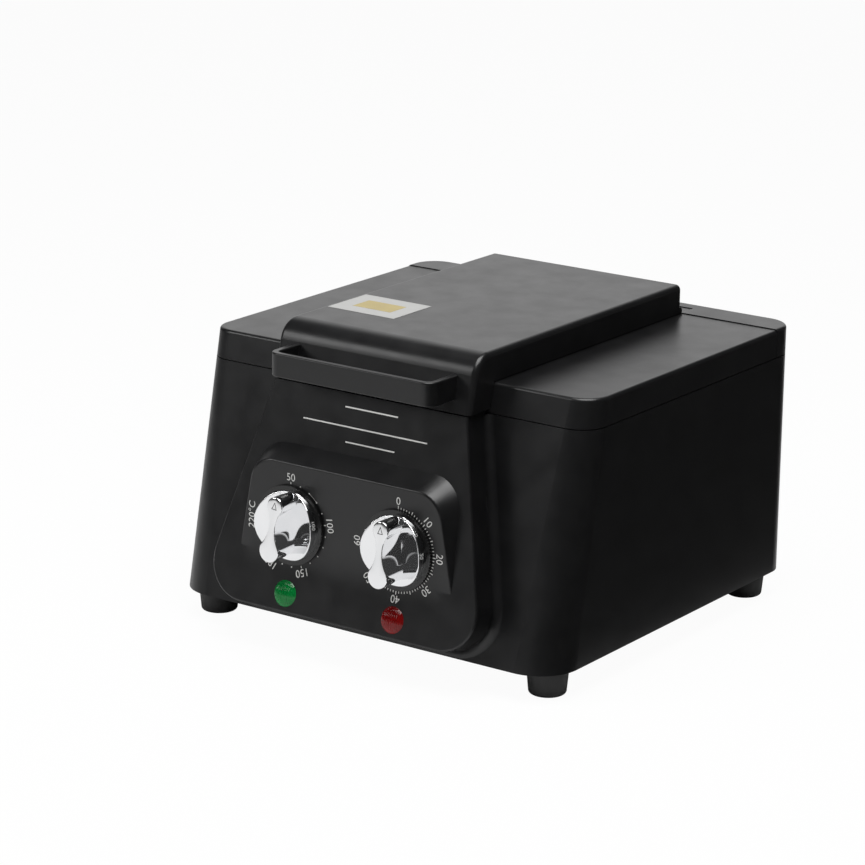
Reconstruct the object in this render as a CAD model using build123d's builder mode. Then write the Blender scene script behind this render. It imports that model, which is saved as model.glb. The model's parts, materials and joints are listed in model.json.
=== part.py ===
"""Dry heat sterilizer: a bench-top heated chamber under a hinged lid.

Millimetres. +Z is up, the front faces -Y. The origin is on the bench, under the
middle of the instrument's footprint.
"""

import os
from math import acos, atan, cos, degrees, radians, sin, tan

from build123d import *

# Casing: outer sizes
width = 300.0
cover_depth = 248.0
foot_height = 18.0
housing_height = 150.0
seam_gap = 0.6
cover_height = 18.6
front_lean = 13.6
wall = 3.0
rear_corner = 19.0
front_corner_top = 17.0
front_corner_bottom = 28.0
cover_edge_radius = 2.2
tongue_height = 3.0

# Front panel and control boss
panel_proud = 22.2
panel_half_top = 75.5
panel_half_bottom = 110.5
panel_bottom_rise = 10.6
panel_corner = 26.0
panel_edge = 1.2
panel_foot = 5.0
panel_lid_gap = 0.8
boss_reach = 52.6
boss_top = 125.5
boss_bottom = 40.0
boss_half_top = 71.5
boss_half_bottom = 87.5
boss_corner = 18.0
boss_draft = 24.5
boss_edge = 1.6
boss_depth = 30.0

# Knobs
knob_spacing = 84.0
knob_level = 85.0
knob_height = 22.5
skirt_radius = 26.1
skirt_thickness = 2.0
skirt_lift = 0.4
cap_radius = 24.0
cap_draft = 8.0
cap_rim_height = 9.5
cap_valley_height = 3.4
grip_pad_radius = 6.5
grip_pad_centre = 17.3
grip_tail_radius = 7.8
grip_tail_centre = 12.3
grip_waist = 4.3
grip_waist_centre = 2.0
grip_slope = 5.6
grip_edge = 0.9
pointer_half = 1.9
pointer_length = 3.4
pointer_depth = 0.4
shaft_radius = 3.0
shaft_socket = 11.0
shaft_length = 22.0

# Lamps
lamp_spacing = 84.4
lamp_level = 41.0
lens_radius = 8.6
lens_height = 4.2
lamp_holder_radius = 6.2
lamp_holder_length = 24.0
lamp_nut_radius = 9.0
lamp_nut_thickness = 3.0

# Lid
lid_half_width = 76.6
lid_rise = 20.3
lid_gap = 0.6
lid_bend = 16.0
lid_side_edge = 3.5
lid_wall = 2.5
lid_rear_inset = 29.4
apron_bottom = 171.2
apron_gap = 0.8
liner_wall = 0.8
liner_lift = 1.2
liner_drop = 8.0
liner_inset = 4.0
liner_front_gap = 2.6
liner_screw_inset = 22.0
lid_boss_radius = 4.0
gasket_inset = 8.0

# Handle
handle_half_width = 63.5
handle_reach = 26.6
handle_height = 15.6
handle_bottom = 178.8
handle_thickness = 4.6
handle_corner = 8.0
handle_edge = 1.0

# Rear cap and hinge
rear_cap_depth = 25.6
rear_cap_rise = 0.6
cap_gap = 0.4
hinge_recess_depth = 1.6
hinge_half_length = 75.6
hinge_knuckles = 7
knuckle_radius = 2.6
knuckle_gap = 0.3
hinge_pin_radius = 1.2
leaf_thickness = 1.1
leaf_width = 15.5
hinge_screw_count = 4
hinge_screw_pitch = 42.0
hinge_screw_radius = 1.4
hinge_screw_length = 6.5
hinge_pad_thickness = 5.0
hinge_pad_height = 11.0

# Chamber, tray and insulation
chamber_half_width = 62.0
chamber_length = 184.0
chamber_depth = 78.0
chamber_wall = 1.0
chamber_corner = 14.0
chamber_bottom_radius = 6.0
chamber_setback = 20.0
flange_width = 9.0
flange_screw_length = 4.5
tray_gap = 3.0
tray_wall = 1.0
tray_depth = 42.0
tray_bottom_radius = 3.0
tray_hole_radius = 2.6
tray_hole_rows = 5
tray_hole_columns = 8
tray_hole_pitch = 20.0
tray_grip_half_width = 32.0
tray_grip_rise = 18.0
tray_slot_length = 40.0
tray_slot_height = 8.0
insulation_thickness = 12.0
lining_gap = 0.3
lining_top_gap = 2.5
heater_radius = 3.2
heater_half_span = 36.0
heater_rear_inset = 20.0
heater_cavity_gap = 1.2
heater_reach = 27.0
clip_width = 8.0
clip_wall = 0.8
clip_tab = 6.0
clip_spacing = 70.0
shield_wall = 0.8
shield_top_gap = 2.0
hanger_drop = 8.0
hanger_reach = 14.0
hanger_inset = 26.0
cutout_radius = 8.0
cutout_depth = 7.0
cutout_level = 145.0
bulb_radius = 2.4
bulb_length = 60.0
capillary_radius = 0.9

# Controls behind the boss
running_gap = 0.05
shaft_hole_radius = 6.0
bush_radius = 5.7
temperature_control_width = 46.0
temperature_control_depth = 24.0
temperature_control_height = 34.0
timer_width = 50.0
timer_depth = 30.0
timer_height = 50.0
control_screw_offset = 15.0
control_screw_radius = 1.5
control_screw_length = 9.0

# Feet, base plate and screws
foot_top_radius = 13.6
foot_bottom_radius = 11.9
foot_inset_side = 19.3
foot_inset_front = 25.6
foot_inset_rear = 23.2
foot_recess_radius = 4.2
foot_recess_depth = 10.0
base_plate_thickness = 1.2
base_plate_gap = 0.6
vent_length = 46.0
vent_width = 4.0
vent_pitch = 12.0
vent_count = 6
vent_offset = 58.0
screw_radius = 1.5
screw_gap = 0.1
screw_head_radius = 3.0
screw_head_height = 1.8
screw_length = 12.0
post_radius = 4.5
post_height = 24.0
post_inset = 45.0
post_bite = 0.6
lug_size = 10.0
lug_drop = 4.0
lug_inset = 30.0
cap_lug_shift = 5.0

# Rear inlet, terminal block and earth stud
gland_bore_radius = 3.4
gland_radius = 8.0
gland_flange_radius = 10.5
gland_flange = 3.0
gland_reach = 9.0
gland_nut_radius = 11.5
gland_nut_thickness = 5.0
gland_level = 44.0
gland_offset = 105.0
terminal_length = 40.0
terminal_depth = 18.0
terminal_height = 14.0
terminal_wells = 3
terminal_setback = 48.0
earth_stud_radius = 2.0
earth_stud_height = 14.0
earth_nut_radius = 4.2
earth_nut_thickness = 3.0
earth_stud_setback = 30.0

# Small clearances
seat_gap = 0.3
slot_gap = 0.5

# Derived levels and depths
seam_level = foot_height + housing_height
cover_bottom = seam_level + seam_gap
cover_top = cover_bottom + cover_height
cap_top = cover_top + rear_cap_rise
deck_under = cover_top - wall
lid_bottom = cover_top + lid_gap
lid_top = cover_top + lid_rise
lug_level = seam_level - lug_drop
panel_top = apron_bottom - panel_lid_gap
overall_depth = knob_height + boss_reach + cover_depth + gland_flange
cover_front = knob_height + boss_reach - overall_depth / 2
cover_rear = cover_front + cover_depth
boss_face = cover_front - boss_reach
cap_front = cover_rear - rear_cap_depth
cover_end = cap_front - cap_gap
lid_rear = cover_rear - lid_rear_inset
half_width = width / 2
lean = radians(front_lean)
lean_gap = 1 / cos(lean)

# Derived places of the chamber and its lining, outward from the tank
chamber_front = cover_front + chamber_setback
chamber_rear = chamber_front + chamber_length
chamber_middle = (chamber_front + chamber_rear) / 2
chamber_floor = cover_top - chamber_depth
heater_level = chamber_floor - heater_radius
lining_floor = heater_level - heater_radius - heater_cavity_gap
shield_floor = lining_floor - insulation_thickness
shield_margin = lining_gap + insulation_thickness + lining_gap
liner_level = lid_bottom + liner_lift
plug_bottom = liner_level - liner_drop

# Hinge axis: the leaves lie tangent to the knuckles
recess_floor = cap_top - hinge_recess_depth
hinge_y = lid_rear + knuckle_radius
hinge_z = recess_floor + knuckle_radius
knuckle_length = 2 * hinge_half_length / hinge_knuckles


def front_at(level):
    """Depth of the casing's leaning front at a level."""
    return cover_front - (cover_top - level) * tan(lean)


def panel_at(level):
    """Depth of the proud panel's face, which the lid's front also follows."""
    return front_at(level) - panel_proud / cos(lean)


def slope_at(level):
    """Distance up the panel's face, in its own plane, of a level."""
    return (level - seam_level - panel_proud * sin(lean)) / cos(lean)


def corner_at(level):
    """Radius of the front corners, which open out towards the bottom."""
    share = (cover_top - level) / (cover_top - foot_height)
    return front_corner_top + share * (front_corner_bottom - front_corner_top)


def footprint(level, inset=0.0):
    """Plan outline of the casing at a level, drawn in by an inset."""
    front = front_at(level) + inset
    rear = cover_rear - inset
    side = half_width - inset
    with BuildSketch() as outline:
        with BuildLine():
            Polyline((-side, front), (side, front), (side, rear), (-side, rear), close=True)
        make_face()
        fillet(outline.vertices().group_by(Axis.Y)[0], corner_at(level) - inset)
        fillet(outline.vertices().group_by(Axis.Y)[-1], rear_corner - inset)
    return outline.sketch


def panel_outline(inset=0.0):
    """Front view of the panel on the leaning plane, drawn in by an inset."""
    top = wall + panel_corner
    foot = slope_at(foot_height + panel_bottom_rise)
    bottom = foot + inset
    side_slope = (panel_half_bottom - panel_half_top) / (slope_at(seam_level) - foot)
    top_half = panel_half_bottom - side_slope * (top - foot) - inset
    bottom_half = panel_half_bottom - inset
    with BuildSketch() as outline:
        with BuildLine():
            Polyline(
                (-top_half, top),
                (top_half, top),
                (bottom_half, bottom),
                (-bottom_half, bottom),
                close=True,
            )
        make_face()
        fillet(outline.vertices().group_by(Axis.Y)[0], panel_corner - inset)
    return outline.sketch


def boss_outline(margin=0.0):
    """Front view of the control boss, grown by a margin."""
    top_half = boss_half_top + margin
    bottom_half = boss_half_bottom + margin
    with BuildSketch() as outline:
        with BuildLine():
            Polyline(
                (-top_half, boss_top + margin),
                (top_half, boss_top + margin),
                (bottom_half, boss_bottom - margin),
                (-bottom_half, boss_bottom - margin),
                close=True,
            )
        make_face()
        fillet(outline.vertices().group_by(Axis.Y)[-1], boss_corner + margin)
    return outline.sketch


def tank_outline(margin=0.0):
    """Plan outline of the chamber's tank, grown by a margin."""
    with BuildSketch() as outline:
        with Locations((0, chamber_middle)):
            RectangleRounded(
                2 * (chamber_half_width + margin),
                chamber_length + 2 * margin,
                chamber_corner + margin,
            )
    return outline.sketch


def discs(places, radius):
    """Circles of one radius at several places."""
    with BuildSketch() as outline:
        with Locations(*places):
            Circle(radius)
    return outline.sketch


def side_view(points):
    """Closed outline in depth and level, for pieces extruded across the width."""
    with BuildSketch() as outline:
        with BuildLine():
            Polyline(*points, close=True)
        make_face()
    return outline.sketch


# The leaning plane of the casing's front: local X is +X, local Y climbs the slope
front_plane = Plane(
    origin=(0, front_at(seam_level), seam_level),
    x_dir=(1, 0, 0),
    z_dir=(0, -cos(lean), sin(lean)),
)
panel_plane = front_plane.offset(panel_proud)

# Upright planes of the boss face and the rear wall, local Y is +Z
boss_plane = Plane(origin=(0, boss_face, 0), x_dir=(1, 0, 0), z_dir=(0, -1, 0))
rear_plane = Plane(origin=(0, cover_rear, 0), x_dir=(-1, 0, 0), z_dir=(0, 1, 0))
chamber_front_plane = Plane(origin=(0, chamber_front, 0), x_dir=(1, 0, 0), z_dir=(0, -1, 0))

# Places of feet, screws and lamps, seen from above or from the front
foot_x = half_width - foot_inset_side
foot_rows = (front_at(foot_height) + foot_inset_front, cover_rear - foot_inset_rear)
post_x = half_width - wall - post_radius + post_bite
post_rows = (front_at(foot_height) + post_inset, cover_rear - post_inset)
post_places = [(side * post_x, row) for side in (-1, 1) for row in post_rows]
lug_x = half_width - wall - lug_size / 2
lug_rows = (cover_front + lug_inset, cover_end - lug_inset)
lug_places = [(side * lug_x, row) for side in (-1, 1) for row in lug_rows]
cap_lug_row = (cap_front + cover_rear - wall) / 2
cap_lug_places = [(side * (lug_x - cap_lug_shift), cap_lug_row) for side in (-1, 1)]
hanger_x = chamber_half_width + shield_margin + shield_wall + hanger_reach / 2
hanger_rows = (chamber_front + hanger_inset, chamber_rear - hanger_inset)
hanger_places = [(side * hanger_x, row) for side in (-1, 1) for row in hanger_rows]
flange_screw_x = chamber_half_width + flange_width / 2
flange_rows = (chamber_front + chamber_corner, chamber_middle, chamber_rear - chamber_corner)
flange_screw_places = [(side * flange_screw_x, row) for side in (-1, 1) for row in flange_rows]
liner_screw_x = chamber_half_width - chamber_corner
liner_rows = (chamber_front + liner_screw_inset, chamber_rear - liner_screw_inset)
liner_screw_places = [(side * liner_screw_x, row) for side in (-1, 1) for row in liner_rows]
knob_places = [(side * knob_spacing / 2, knob_level) for side in (-1, 1)]
lamp_places = [(side * lamp_spacing / 2, slope_at(lamp_level)) for side in (-1, 1)]
control_screw_places = [
    (place + side * control_screw_offset, knob_level)
    for place in (-knob_spacing / 2, knob_spacing / 2)
    for side in (-1, 1)
]
hinge_screw_x = [
    (index - (hinge_screw_count - 1) / 2) * hinge_screw_pitch for index in range(hinge_screw_count)
]
heater_places = [(side * heater_half_span, heater_level) for side in (-1, 1)]


# Front panel as a block, its front edges eased
with BuildPart() as panel_block:
    with BuildSketch(front_plane.offset(-wall)):
        add(panel_outline())
    extrude(amount=wall + panel_proud)
    panel_face = panel_block.faces().sort_by(Axis((0, 0, 0), front_plane.z_dir))[-1]
    fillet(panel_face.edges(), panel_edge)

# Control boss as a block: upright face, drafted sides, eased front edges
boss_growth = boss_depth * tan(radians(boss_draft))
with BuildPart() as boss_block:
    with BuildSketch(boss_plane):
        add(boss_outline())
    with BuildSketch(boss_plane.offset(-boss_depth)):
        add(boss_outline(boss_growth))
    loft(ruled=True)
    fillet(boss_block.faces().sort_by(Axis.Y)[0].edges(), boss_edge)

# The same two forms drawn in by the wall, for hollowing the shell
with BuildPart() as panel_hollow:
    with BuildSketch(front_plane.offset(-2 * wall)):
        add(panel_outline(inset=wall))
    extrude(amount=wall + panel_proud)
    split(bisect_by=Plane.XY.offset(seam_level - wall), keep=Keep.BOTTOM)

with BuildPart() as boss_hollow:
    with BuildSketch(boss_plane.offset(-wall)):
        add(boss_outline(-wall))
    with BuildSketch(boss_plane.offset(-boss_depth - wall)):
        add(boss_outline(boss_growth - wall))
    loft(ruled=True)

# Everything behind and above the panel's top ledge, where the cover and the lid go
with BuildPart() as cover_room:
    with BuildSketch(Plane.YZ):
        add(
            side_view(
                [
                    (boss_face, panel_top),
                    (front_at(panel_top) - seam_gap, panel_top),
                    (front_at(seam_level) - seam_gap, seam_level),
                    (cover_rear + wall, seam_level),
                    (cover_rear + wall, lid_top + wall),
                    (boss_face, lid_top + wall),
                ]
            )
        )
    extrude(amount=width, both=True)

# Housing: the moulded shell with its leaning front, proud panel and control boss
with BuildPart() as housing:
    with BuildSketch(Plane.XY.offset(foot_height)):
        add(footprint(foot_height))
    with BuildSketch(Plane.XY.offset(seam_level)):
        add(footprint(seam_level))
    loft(ruled=True)
    add(panel_block.part)
    panel_feet = [
        edge
        for edge in housing.edges()
        if abs(front_plane.to_local_coords(edge.center()).Z) < running_gap
        and foot_height + 1 < edge.center().Z < seam_level - 1
        and abs(edge.center().X) < panel_half_bottom + panel_edge
    ]
    fillet(panel_feet, panel_foot)
    add(boss_block.part)
    add(cover_room.part, mode=Mode.SUBTRACT)
    # Tongue that stands up inside the cover's skirt, then the hollow
    with BuildSketch(Plane.XY.offset(seam_level - wall)):
        add(footprint(seam_level - wall, wall / 2 + seat_gap))
    with BuildSketch(Plane.XY.offset(seam_level + tongue_height)):
        add(footprint(seam_level + tongue_height, wall / 2 + seat_gap))
    loft(ruled=True)
    with BuildSketch(Plane.XY.offset(foot_height - wall)):
        add(footprint(foot_height - wall, wall))
    with BuildSketch(Plane.XY.offset(seam_level + 2 * wall)):
        add(footprint(seam_level + 2 * wall, wall))
    loft(ruled=True, mode=Mode.SUBTRACT)
    add(panel_hollow.part, mode=Mode.SUBTRACT)
    add(boss_hollow.part, mode=Mode.SUBTRACT)
    # Spot faces that keep the panel clear of the knobs' skirts
    with BuildSketch(boss_plane):
        add(discs(knob_places, skirt_radius + slot_gap))
    extrude(amount=knob_height, mode=Mode.SUBTRACT)
    # Posts for the base screws, standing on the base plate
    with BuildSketch(Plane.XY.offset(foot_height + base_plate_thickness)):
        add(discs(post_places, post_radius))
        add(discs(post_places, screw_radius + screw_gap), mode=Mode.SUBTRACT)
    extrude(amount=post_height)
    # Lugs under the cover's and the rear cap's bosses
    with BuildSketch(Plane.XY.offset(lug_level - wall)):
        with Locations(*lug_places, *cap_lug_places):
            Rectangle(lug_size + 4 * wall, lug_size)
        add(footprint(lug_level, wall / 2), mode=Mode.INTERSECT)
        add(discs(lug_places + cap_lug_places, screw_radius + screw_gap), mode=Mode.SUBTRACT)
    extrude(amount=wall)
    # Shaft and screw holes in the boss, lamp holes in the panel, inlet hole in the rear
    with BuildSketch(boss_plane):
        add(discs(knob_places, shaft_hole_radius))
        add(discs(control_screw_places, control_screw_radius + screw_gap))
    extrude(amount=-2 * wall, mode=Mode.SUBTRACT)
    with BuildSketch(boss_plane):
        add(discs(control_screw_places, 2 * control_screw_radius))
    extrude(amount=-control_screw_radius, mode=Mode.SUBTRACT)
    with BuildSketch(panel_plane):
        add(discs(lamp_places, lamp_holder_radius + seat_gap))
    extrude(amount=-2 * wall, mode=Mode.SUBTRACT)
    with BuildSketch(rear_plane):
        add(discs([(-gland_offset, gland_level)], gland_radius))
    extrude(amount=-2 * wall, mode=Mode.SUBTRACT)

# Hollows shared by the top cover and the rear cap
with BuildPart() as tongue_rebate:
    with BuildSketch(Plane.XY.offset(cover_bottom - wall)):
        add(footprint(cover_bottom - wall, wall / 2))
    with BuildSketch(Plane.XY.offset(seam_level + tongue_height)):
        add(footprint(seam_level + tongue_height, wall / 2))
    loft(ruled=True)

with BuildPart() as cover_hollow:
    with BuildSketch(Plane.XY.offset(cover_bottom - wall)):
        add(footprint(cover_bottom - wall, wall))
    with BuildSketch(Plane.XY.offset(deck_under)):
        add(footprint(deck_under, wall))
    loft(ruled=True)
    split(bisect_by=Plane.XZ.offset(wall - cover_end), keep=Keep.TOP)

with BuildPart() as cap_hollow:
    with BuildSketch(Plane.XY.offset(cover_bottom - wall)):
        add(footprint(cover_bottom, wall))
    extrude(amount=cap_top - cover_bottom)
    split(bisect_by=Plane.XZ.offset(-cap_front - wall), keep=Keep.BOTTOM)

with BuildPart() as hinge_recess:
    with BuildSketch(Plane.XY.offset(recess_floor)):
        with Locations((0, hinge_y + (leaf_width - knuckle_radius) / 2)):
            Rectangle(
                2 * (hinge_half_length + slot_gap),
                leaf_width + knuckle_radius + 2 * slot_gap,
            )
    extrude(amount=lid_rise)

# Top cover: the deck round the chamber's mouth
with BuildPart() as top_cover:
    with BuildSketch(Plane.XY.offset(cover_bottom)):
        add(footprint(cover_bottom))
    with BuildSketch(Plane.XY.offset(cover_top)):
        add(footprint(cover_top))
    loft(ruled=True)
    split(bisect_by=Plane.XZ.offset(-cover_end), keep=Keep.TOP)
    top_edges = top_cover.edges().group_by(Axis.Z)[-1]
    fillet([edge for edge in top_edges if edge.center().Y < cover_end - 1], cover_edge_radius)
    add(cover_hollow.part, mode=Mode.SUBTRACT)
    add(tongue_rebate.part, mode=Mode.SUBTRACT)
    # Bosses for the cover screws and for hanging the heat shield
    with BuildSketch(Plane.XY.offset(lug_level)):
        add(discs(lug_places, post_radius))
        add(discs(lug_places, screw_radius), mode=Mode.SUBTRACT)
    extrude(amount=deck_under - lug_level + wall / 3)
    with BuildSketch(Plane.XY.offset(deck_under - hanger_drop)):
        add(discs(hanger_places, post_radius))
        add(discs(hanger_places, screw_radius), mode=Mode.SUBTRACT)
    extrude(amount=hanger_drop + wall / 3)
    # Mouth, with a rebate that takes the tank's flange flush
    with BuildSketch(Plane.XY.offset(cover_top)):
        add(tank_outline(slot_gap))
    extrude(amount=-2 * wall, mode=Mode.SUBTRACT)
    with BuildSketch(Plane.XY.offset(cover_top)):
        add(tank_outline(flange_width + seat_gap))
    extrude(amount=-chamber_wall, mode=Mode.SUBTRACT)
    with BuildSketch(Plane.XY.offset(cover_top)):
        add(discs(flange_screw_places, screw_radius))
    extrude(amount=-2 * wall, mode=Mode.SUBTRACT)
    add(hinge_recess.part, mode=Mode.SUBTRACT)

# Rear cap: the strip behind the hinge
with BuildPart() as rear_cap:
    with BuildSketch(Plane.XY.offset(cover_bottom)):
        add(footprint(cover_bottom))
    extrude(amount=cap_top - cover_bottom)
    split(bisect_by=Plane.XZ.offset(-cap_front), keep=Keep.BOTTOM)
    cap_edges = rear_cap.edges().group_by(Axis.Z)[-1]
    fillet([edge for edge in cap_edges if edge.center().Y > cap_front + 1], cover_edge_radius)
    add(cap_hollow.part, mode=Mode.SUBTRACT)
    add(tongue_rebate.part, mode=Mode.SUBTRACT)
    with BuildSketch(Plane.XY.offset(lug_level)):
        add(discs(cap_lug_places, post_radius))
        add(discs(cap_lug_places, screw_radius), mode=Mode.SUBTRACT)
    extrude(amount=cap_top - wall - lug_level + wall / 3)
    # Solid rib that the hinge screws bite into
    with BuildSketch(Plane.XY.offset(recess_floor - hinge_screw_length - wall)):
        with Locations((0, cap_front + leaf_width / 2)):
            Rectangle(2 * hinge_half_length, leaf_width)
    extrude(amount=hinge_screw_length + wall)
    add(hinge_recess.part, mode=Mode.SUBTRACT)
    with BuildSketch(Plane.XY.offset(recess_floor)):
        add(discs([(x, hinge_y + leaf_width / 2) for x in hinge_screw_x], hinge_screw_radius))
    extrude(amount=-hinge_screw_length, mode=Mode.SUBTRACT)

# Screws that come up through the lugs into the bosses
lug_under = Plane(origin=(0, 0, lug_level - wall), x_dir=(-1, 0, 0), z_dir=(0, 0, -1))
with BuildPart() as cover_screws:
    with BuildSketch(lug_under):
        add(discs([(-x, y) for x, y in lug_places + cap_lug_places], screw_head_radius))
    extrude(amount=screw_head_height)
    with BuildSketch(lug_under):
        add(discs([(-x, y) for x, y in lug_places + cap_lug_places], screw_radius))
    extrude(amount=-screw_length)

# Base plate with two banks of vents
with BuildPart() as base_plate:
    with BuildSketch(Plane.XY.offset(foot_height)):
        add(footprint(foot_height, wall + base_plate_gap))
        with Locations((-vent_offset, chamber_middle), (vent_offset, chamber_middle)):
            with GridLocations(vent_pitch, vent_pitch, 1, vent_count):
                SlotOverall(vent_length, vent_width, mode=Mode.SUBTRACT)
        add(discs(post_places, screw_radius + screw_gap), mode=Mode.SUBTRACT)
        with Locations(*[(side * foot_x, row) for side in (-1, 1) for row in foot_rows]):
            Circle(screw_radius, mode=Mode.SUBTRACT)
    extrude(amount=base_plate_thickness)

base_under = Plane(origin=(0, 0, foot_height), x_dir=(-1, 0, 0), z_dir=(0, 0, -1))
with BuildPart() as base_screws:
    with BuildSketch(base_under):
        add(discs([(-x, y) for x, y in post_places], screw_head_radius))
    extrude(amount=screw_head_height)
    with BuildSketch(base_under):
        add(discs([(-x, y) for x, y in post_places], screw_radius))
    extrude(amount=-screw_length)


def foot_at(x, y):
    """Round foot with a recess below for its screw."""
    under = Plane(origin=(x, y, foot_height), x_dir=(-1, 0, 0), z_dir=(0, 0, -1))
    with BuildPart() as foot:
        with BuildSketch(under):
            Circle(foot_top_radius)
        with BuildSketch(under.offset(foot_height)):
            Circle(foot_bottom_radius)
        loft()
        fillet(foot.edges().group_by(Axis.Z)[0], cover_edge_radius)
        with BuildSketch(under):
            Circle(screw_radius + screw_gap)
        extrude(amount=foot_height, mode=Mode.SUBTRACT)
        with BuildSketch(under.offset(foot_height)):
            Circle(foot_recess_radius)
        extrude(amount=-foot_recess_depth, mode=Mode.SUBTRACT)
    return foot.part


foot_front_left = foot_at(-foot_x, foot_rows[0])
foot_front_right = foot_at(foot_x, foot_rows[0])
foot_rear_left = foot_at(-foot_x, foot_rows[1])
foot_rear_right = foot_at(foot_x, foot_rows[1])

foot_places = [(side * foot_x, row) for side in (-1, 1) for row in foot_rows]
foot_inside = Plane(origin=(0, 0, foot_recess_depth), x_dir=(-1, 0, 0), z_dir=(0, 0, -1))
with BuildPart() as foot_screws:
    with BuildSketch(foot_inside):
        add(discs([(-x, y) for x, y in foot_places], screw_head_radius))
    extrude(amount=screw_head_height)
    with BuildSketch(foot_inside):
        add(discs([(-x, y) for x, y in foot_places], screw_radius))
    extrude(amount=foot_recess_depth - foot_height - 2 * base_plate_thickness)

# Chamber: a drawn tank with a flange
with BuildPart() as chamber:
    with BuildSketch(Plane.XY.offset(chamber_floor)):
        add(tank_outline())
    extrude(amount=chamber_depth)
    fillet(chamber.edges().group_by(Axis.Z)[0], chamber_bottom_radius)
    with BuildSketch(Plane.XY.offset(cover_top)):
        add(tank_outline(flange_width))
    extrude(amount=-chamber_wall)
    with BuildSketch(Plane.XY.offset(cover_top)):
        add(discs(flange_screw_places, screw_radius + chamber_wall))
    extrude(amount=-chamber_wall, mode=Mode.SUBTRACT)

with BuildPart() as chamber_room:
    with BuildSketch(Plane.XY.offset(chamber_floor + chamber_wall)):
        add(tank_outline(-chamber_wall))
    extrude(amount=chamber_depth)
    fillet(chamber_room.edges().group_by(Axis.Z)[0], chamber_bottom_radius - chamber_wall)

chamber.part = chamber.part - chamber_room.part

with BuildPart() as flange_screws:
    with BuildSketch(Plane.XY.offset(cover_top)):
        add(discs(flange_screw_places, screw_radius + chamber_wall))
    extrude(amount=-chamber_wall)
    with BuildSketch(Plane.XY.offset(cover_top)):
        add(discs(flange_screw_places, screw_radius))
    extrude(amount=-flange_screw_length)

# Instrument tray: perforated floor, a grip at each end
tray_margin = -chamber_wall - tray_gap
tray_floor = chamber_floor + chamber_wall
with BuildPart() as instrument_tray:
    with BuildSketch(Plane.XY.offset(tray_floor)):
        add(tank_outline(tray_margin))
    extrude(amount=tray_depth)
    fillet(instrument_tray.edges().group_by(Axis.Z)[0], tray_bottom_radius)
    offset(
        amount=-tray_wall,
        openings=instrument_tray.faces().sort_by(Axis.Z)[-1],
    )
    with BuildSketch(Plane.XY.offset(tray_floor)):
        with Locations((0, chamber_middle)):
            with GridLocations(tray_hole_pitch, tray_hole_pitch, tray_hole_rows, tray_hole_columns):
                Circle(tray_hole_radius)
    extrude(amount=tray_wall, mode=Mode.SUBTRACT)
    for end in (chamber_front - tray_margin, chamber_rear + tray_margin - tray_wall):
        with BuildSketch(Plane(origin=(0, end, 0), x_dir=(-1, 0, 0), z_dir=(0, 1, 0))):
            with Locations((0, tray_floor + tray_depth + (tray_grip_rise - wall) / 2)):
                RectangleRounded(2 * tray_grip_half_width, tray_grip_rise + wall, wall)
            with Locations((0, tray_floor + tray_depth + tray_grip_rise / 2)):
                SlotOverall(tray_slot_length, tray_slot_height, mode=Mode.SUBTRACT)
        extrude(amount=tray_wall)

# Insulation: a tub round the tank, with room for the heater below it
with BuildPart() as insulation:
    with BuildSketch(Plane.XY.offset(shield_floor)):
        add(tank_outline(lining_gap + insulation_thickness))
    extrude(amount=deck_under - shield_floor - lining_top_gap)
    with BuildSketch(Plane.XY.offset(lining_floor)):
        add(tank_outline(lining_gap))
    extrude(amount=deck_under - lining_floor, mode=Mode.SUBTRACT)
    with BuildSketch(chamber_front_plane):
        add(discs(heater_places, heater_radius + slot_gap))
        add(discs([(0, heater_level)], bulb_radius + slot_gap))
    extrude(amount=shield_margin, both=True, mode=Mode.SUBTRACT)

# Heat shield: a sheet tub hung from the cover by four ears
ear_level = deck_under - hanger_drop - shield_wall
with BuildPart() as heat_shield:
    with BuildSketch(Plane.XY.offset(shield_floor - shield_wall)):
        add(tank_outline(shield_margin + shield_wall))
    extrude(amount=deck_under - shield_top_gap - shield_floor + shield_wall)
    with BuildSketch(Plane.XY.offset(ear_level)):
        with Locations(*hanger_places):
            Rectangle(hanger_reach + 2 * shield_wall, hanger_reach)
        add(discs(hanger_places, screw_radius + screw_gap), mode=Mode.SUBTRACT)
    extrude(amount=shield_wall)
    with BuildSketch(Plane.XY.offset(shield_floor)):
        add(tank_outline(shield_margin))
    extrude(amount=deck_under - shield_floor, mode=Mode.SUBTRACT)
    with BuildSketch(chamber_front_plane):
        add(discs(heater_places, heater_radius + slot_gap))
        add(discs([(0, heater_level)], bulb_radius + slot_gap))
    extrude(amount=2 * shield_margin, mode=Mode.SUBTRACT)

ear_under = Plane(origin=(0, 0, ear_level), x_dir=(-1, 0, 0), z_dir=(0, 0, -1))
with BuildPart() as hanger_screws:
    with BuildSketch(ear_under):
        add(discs([(-x, y) for x, y in hanger_places], screw_head_radius))
    extrude(amount=screw_head_height)
    with BuildSketch(ear_under):
        add(discs([(-x, y) for x, y in hanger_places], screw_radius))
    extrude(amount=-hanger_drop)

# Heater: one sheathed rod bent to a U under the tank, its ends out at the front
heater_turn = chamber_rear - heater_rear_inset - heater_half_span
with BuildPart() as heater:
    with BuildLine(Plane.XY.offset(heater_level)) as heater_path:
        Line((-heater_half_span, chamber_front - heater_reach), (-heater_half_span, heater_turn))
        ThreePointArc(
            (-heater_half_span, heater_turn),
            (0, heater_turn + heater_half_span),
            (heater_half_span, heater_turn),
        )
        Line((heater_half_span, heater_turn), (heater_half_span, chamber_front - heater_reach))
    with BuildSketch(chamber_front_plane.offset(heater_reach)):
        add(discs(heater_places[:1], heater_radius))
    sweep(path=heater_path.wire())
    with BuildSketch(chamber_front_plane.offset(heater_reach)):
        add(discs(heater_places, heater_radius / 2))
    extrude(amount=2 * heater_radius)

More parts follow.
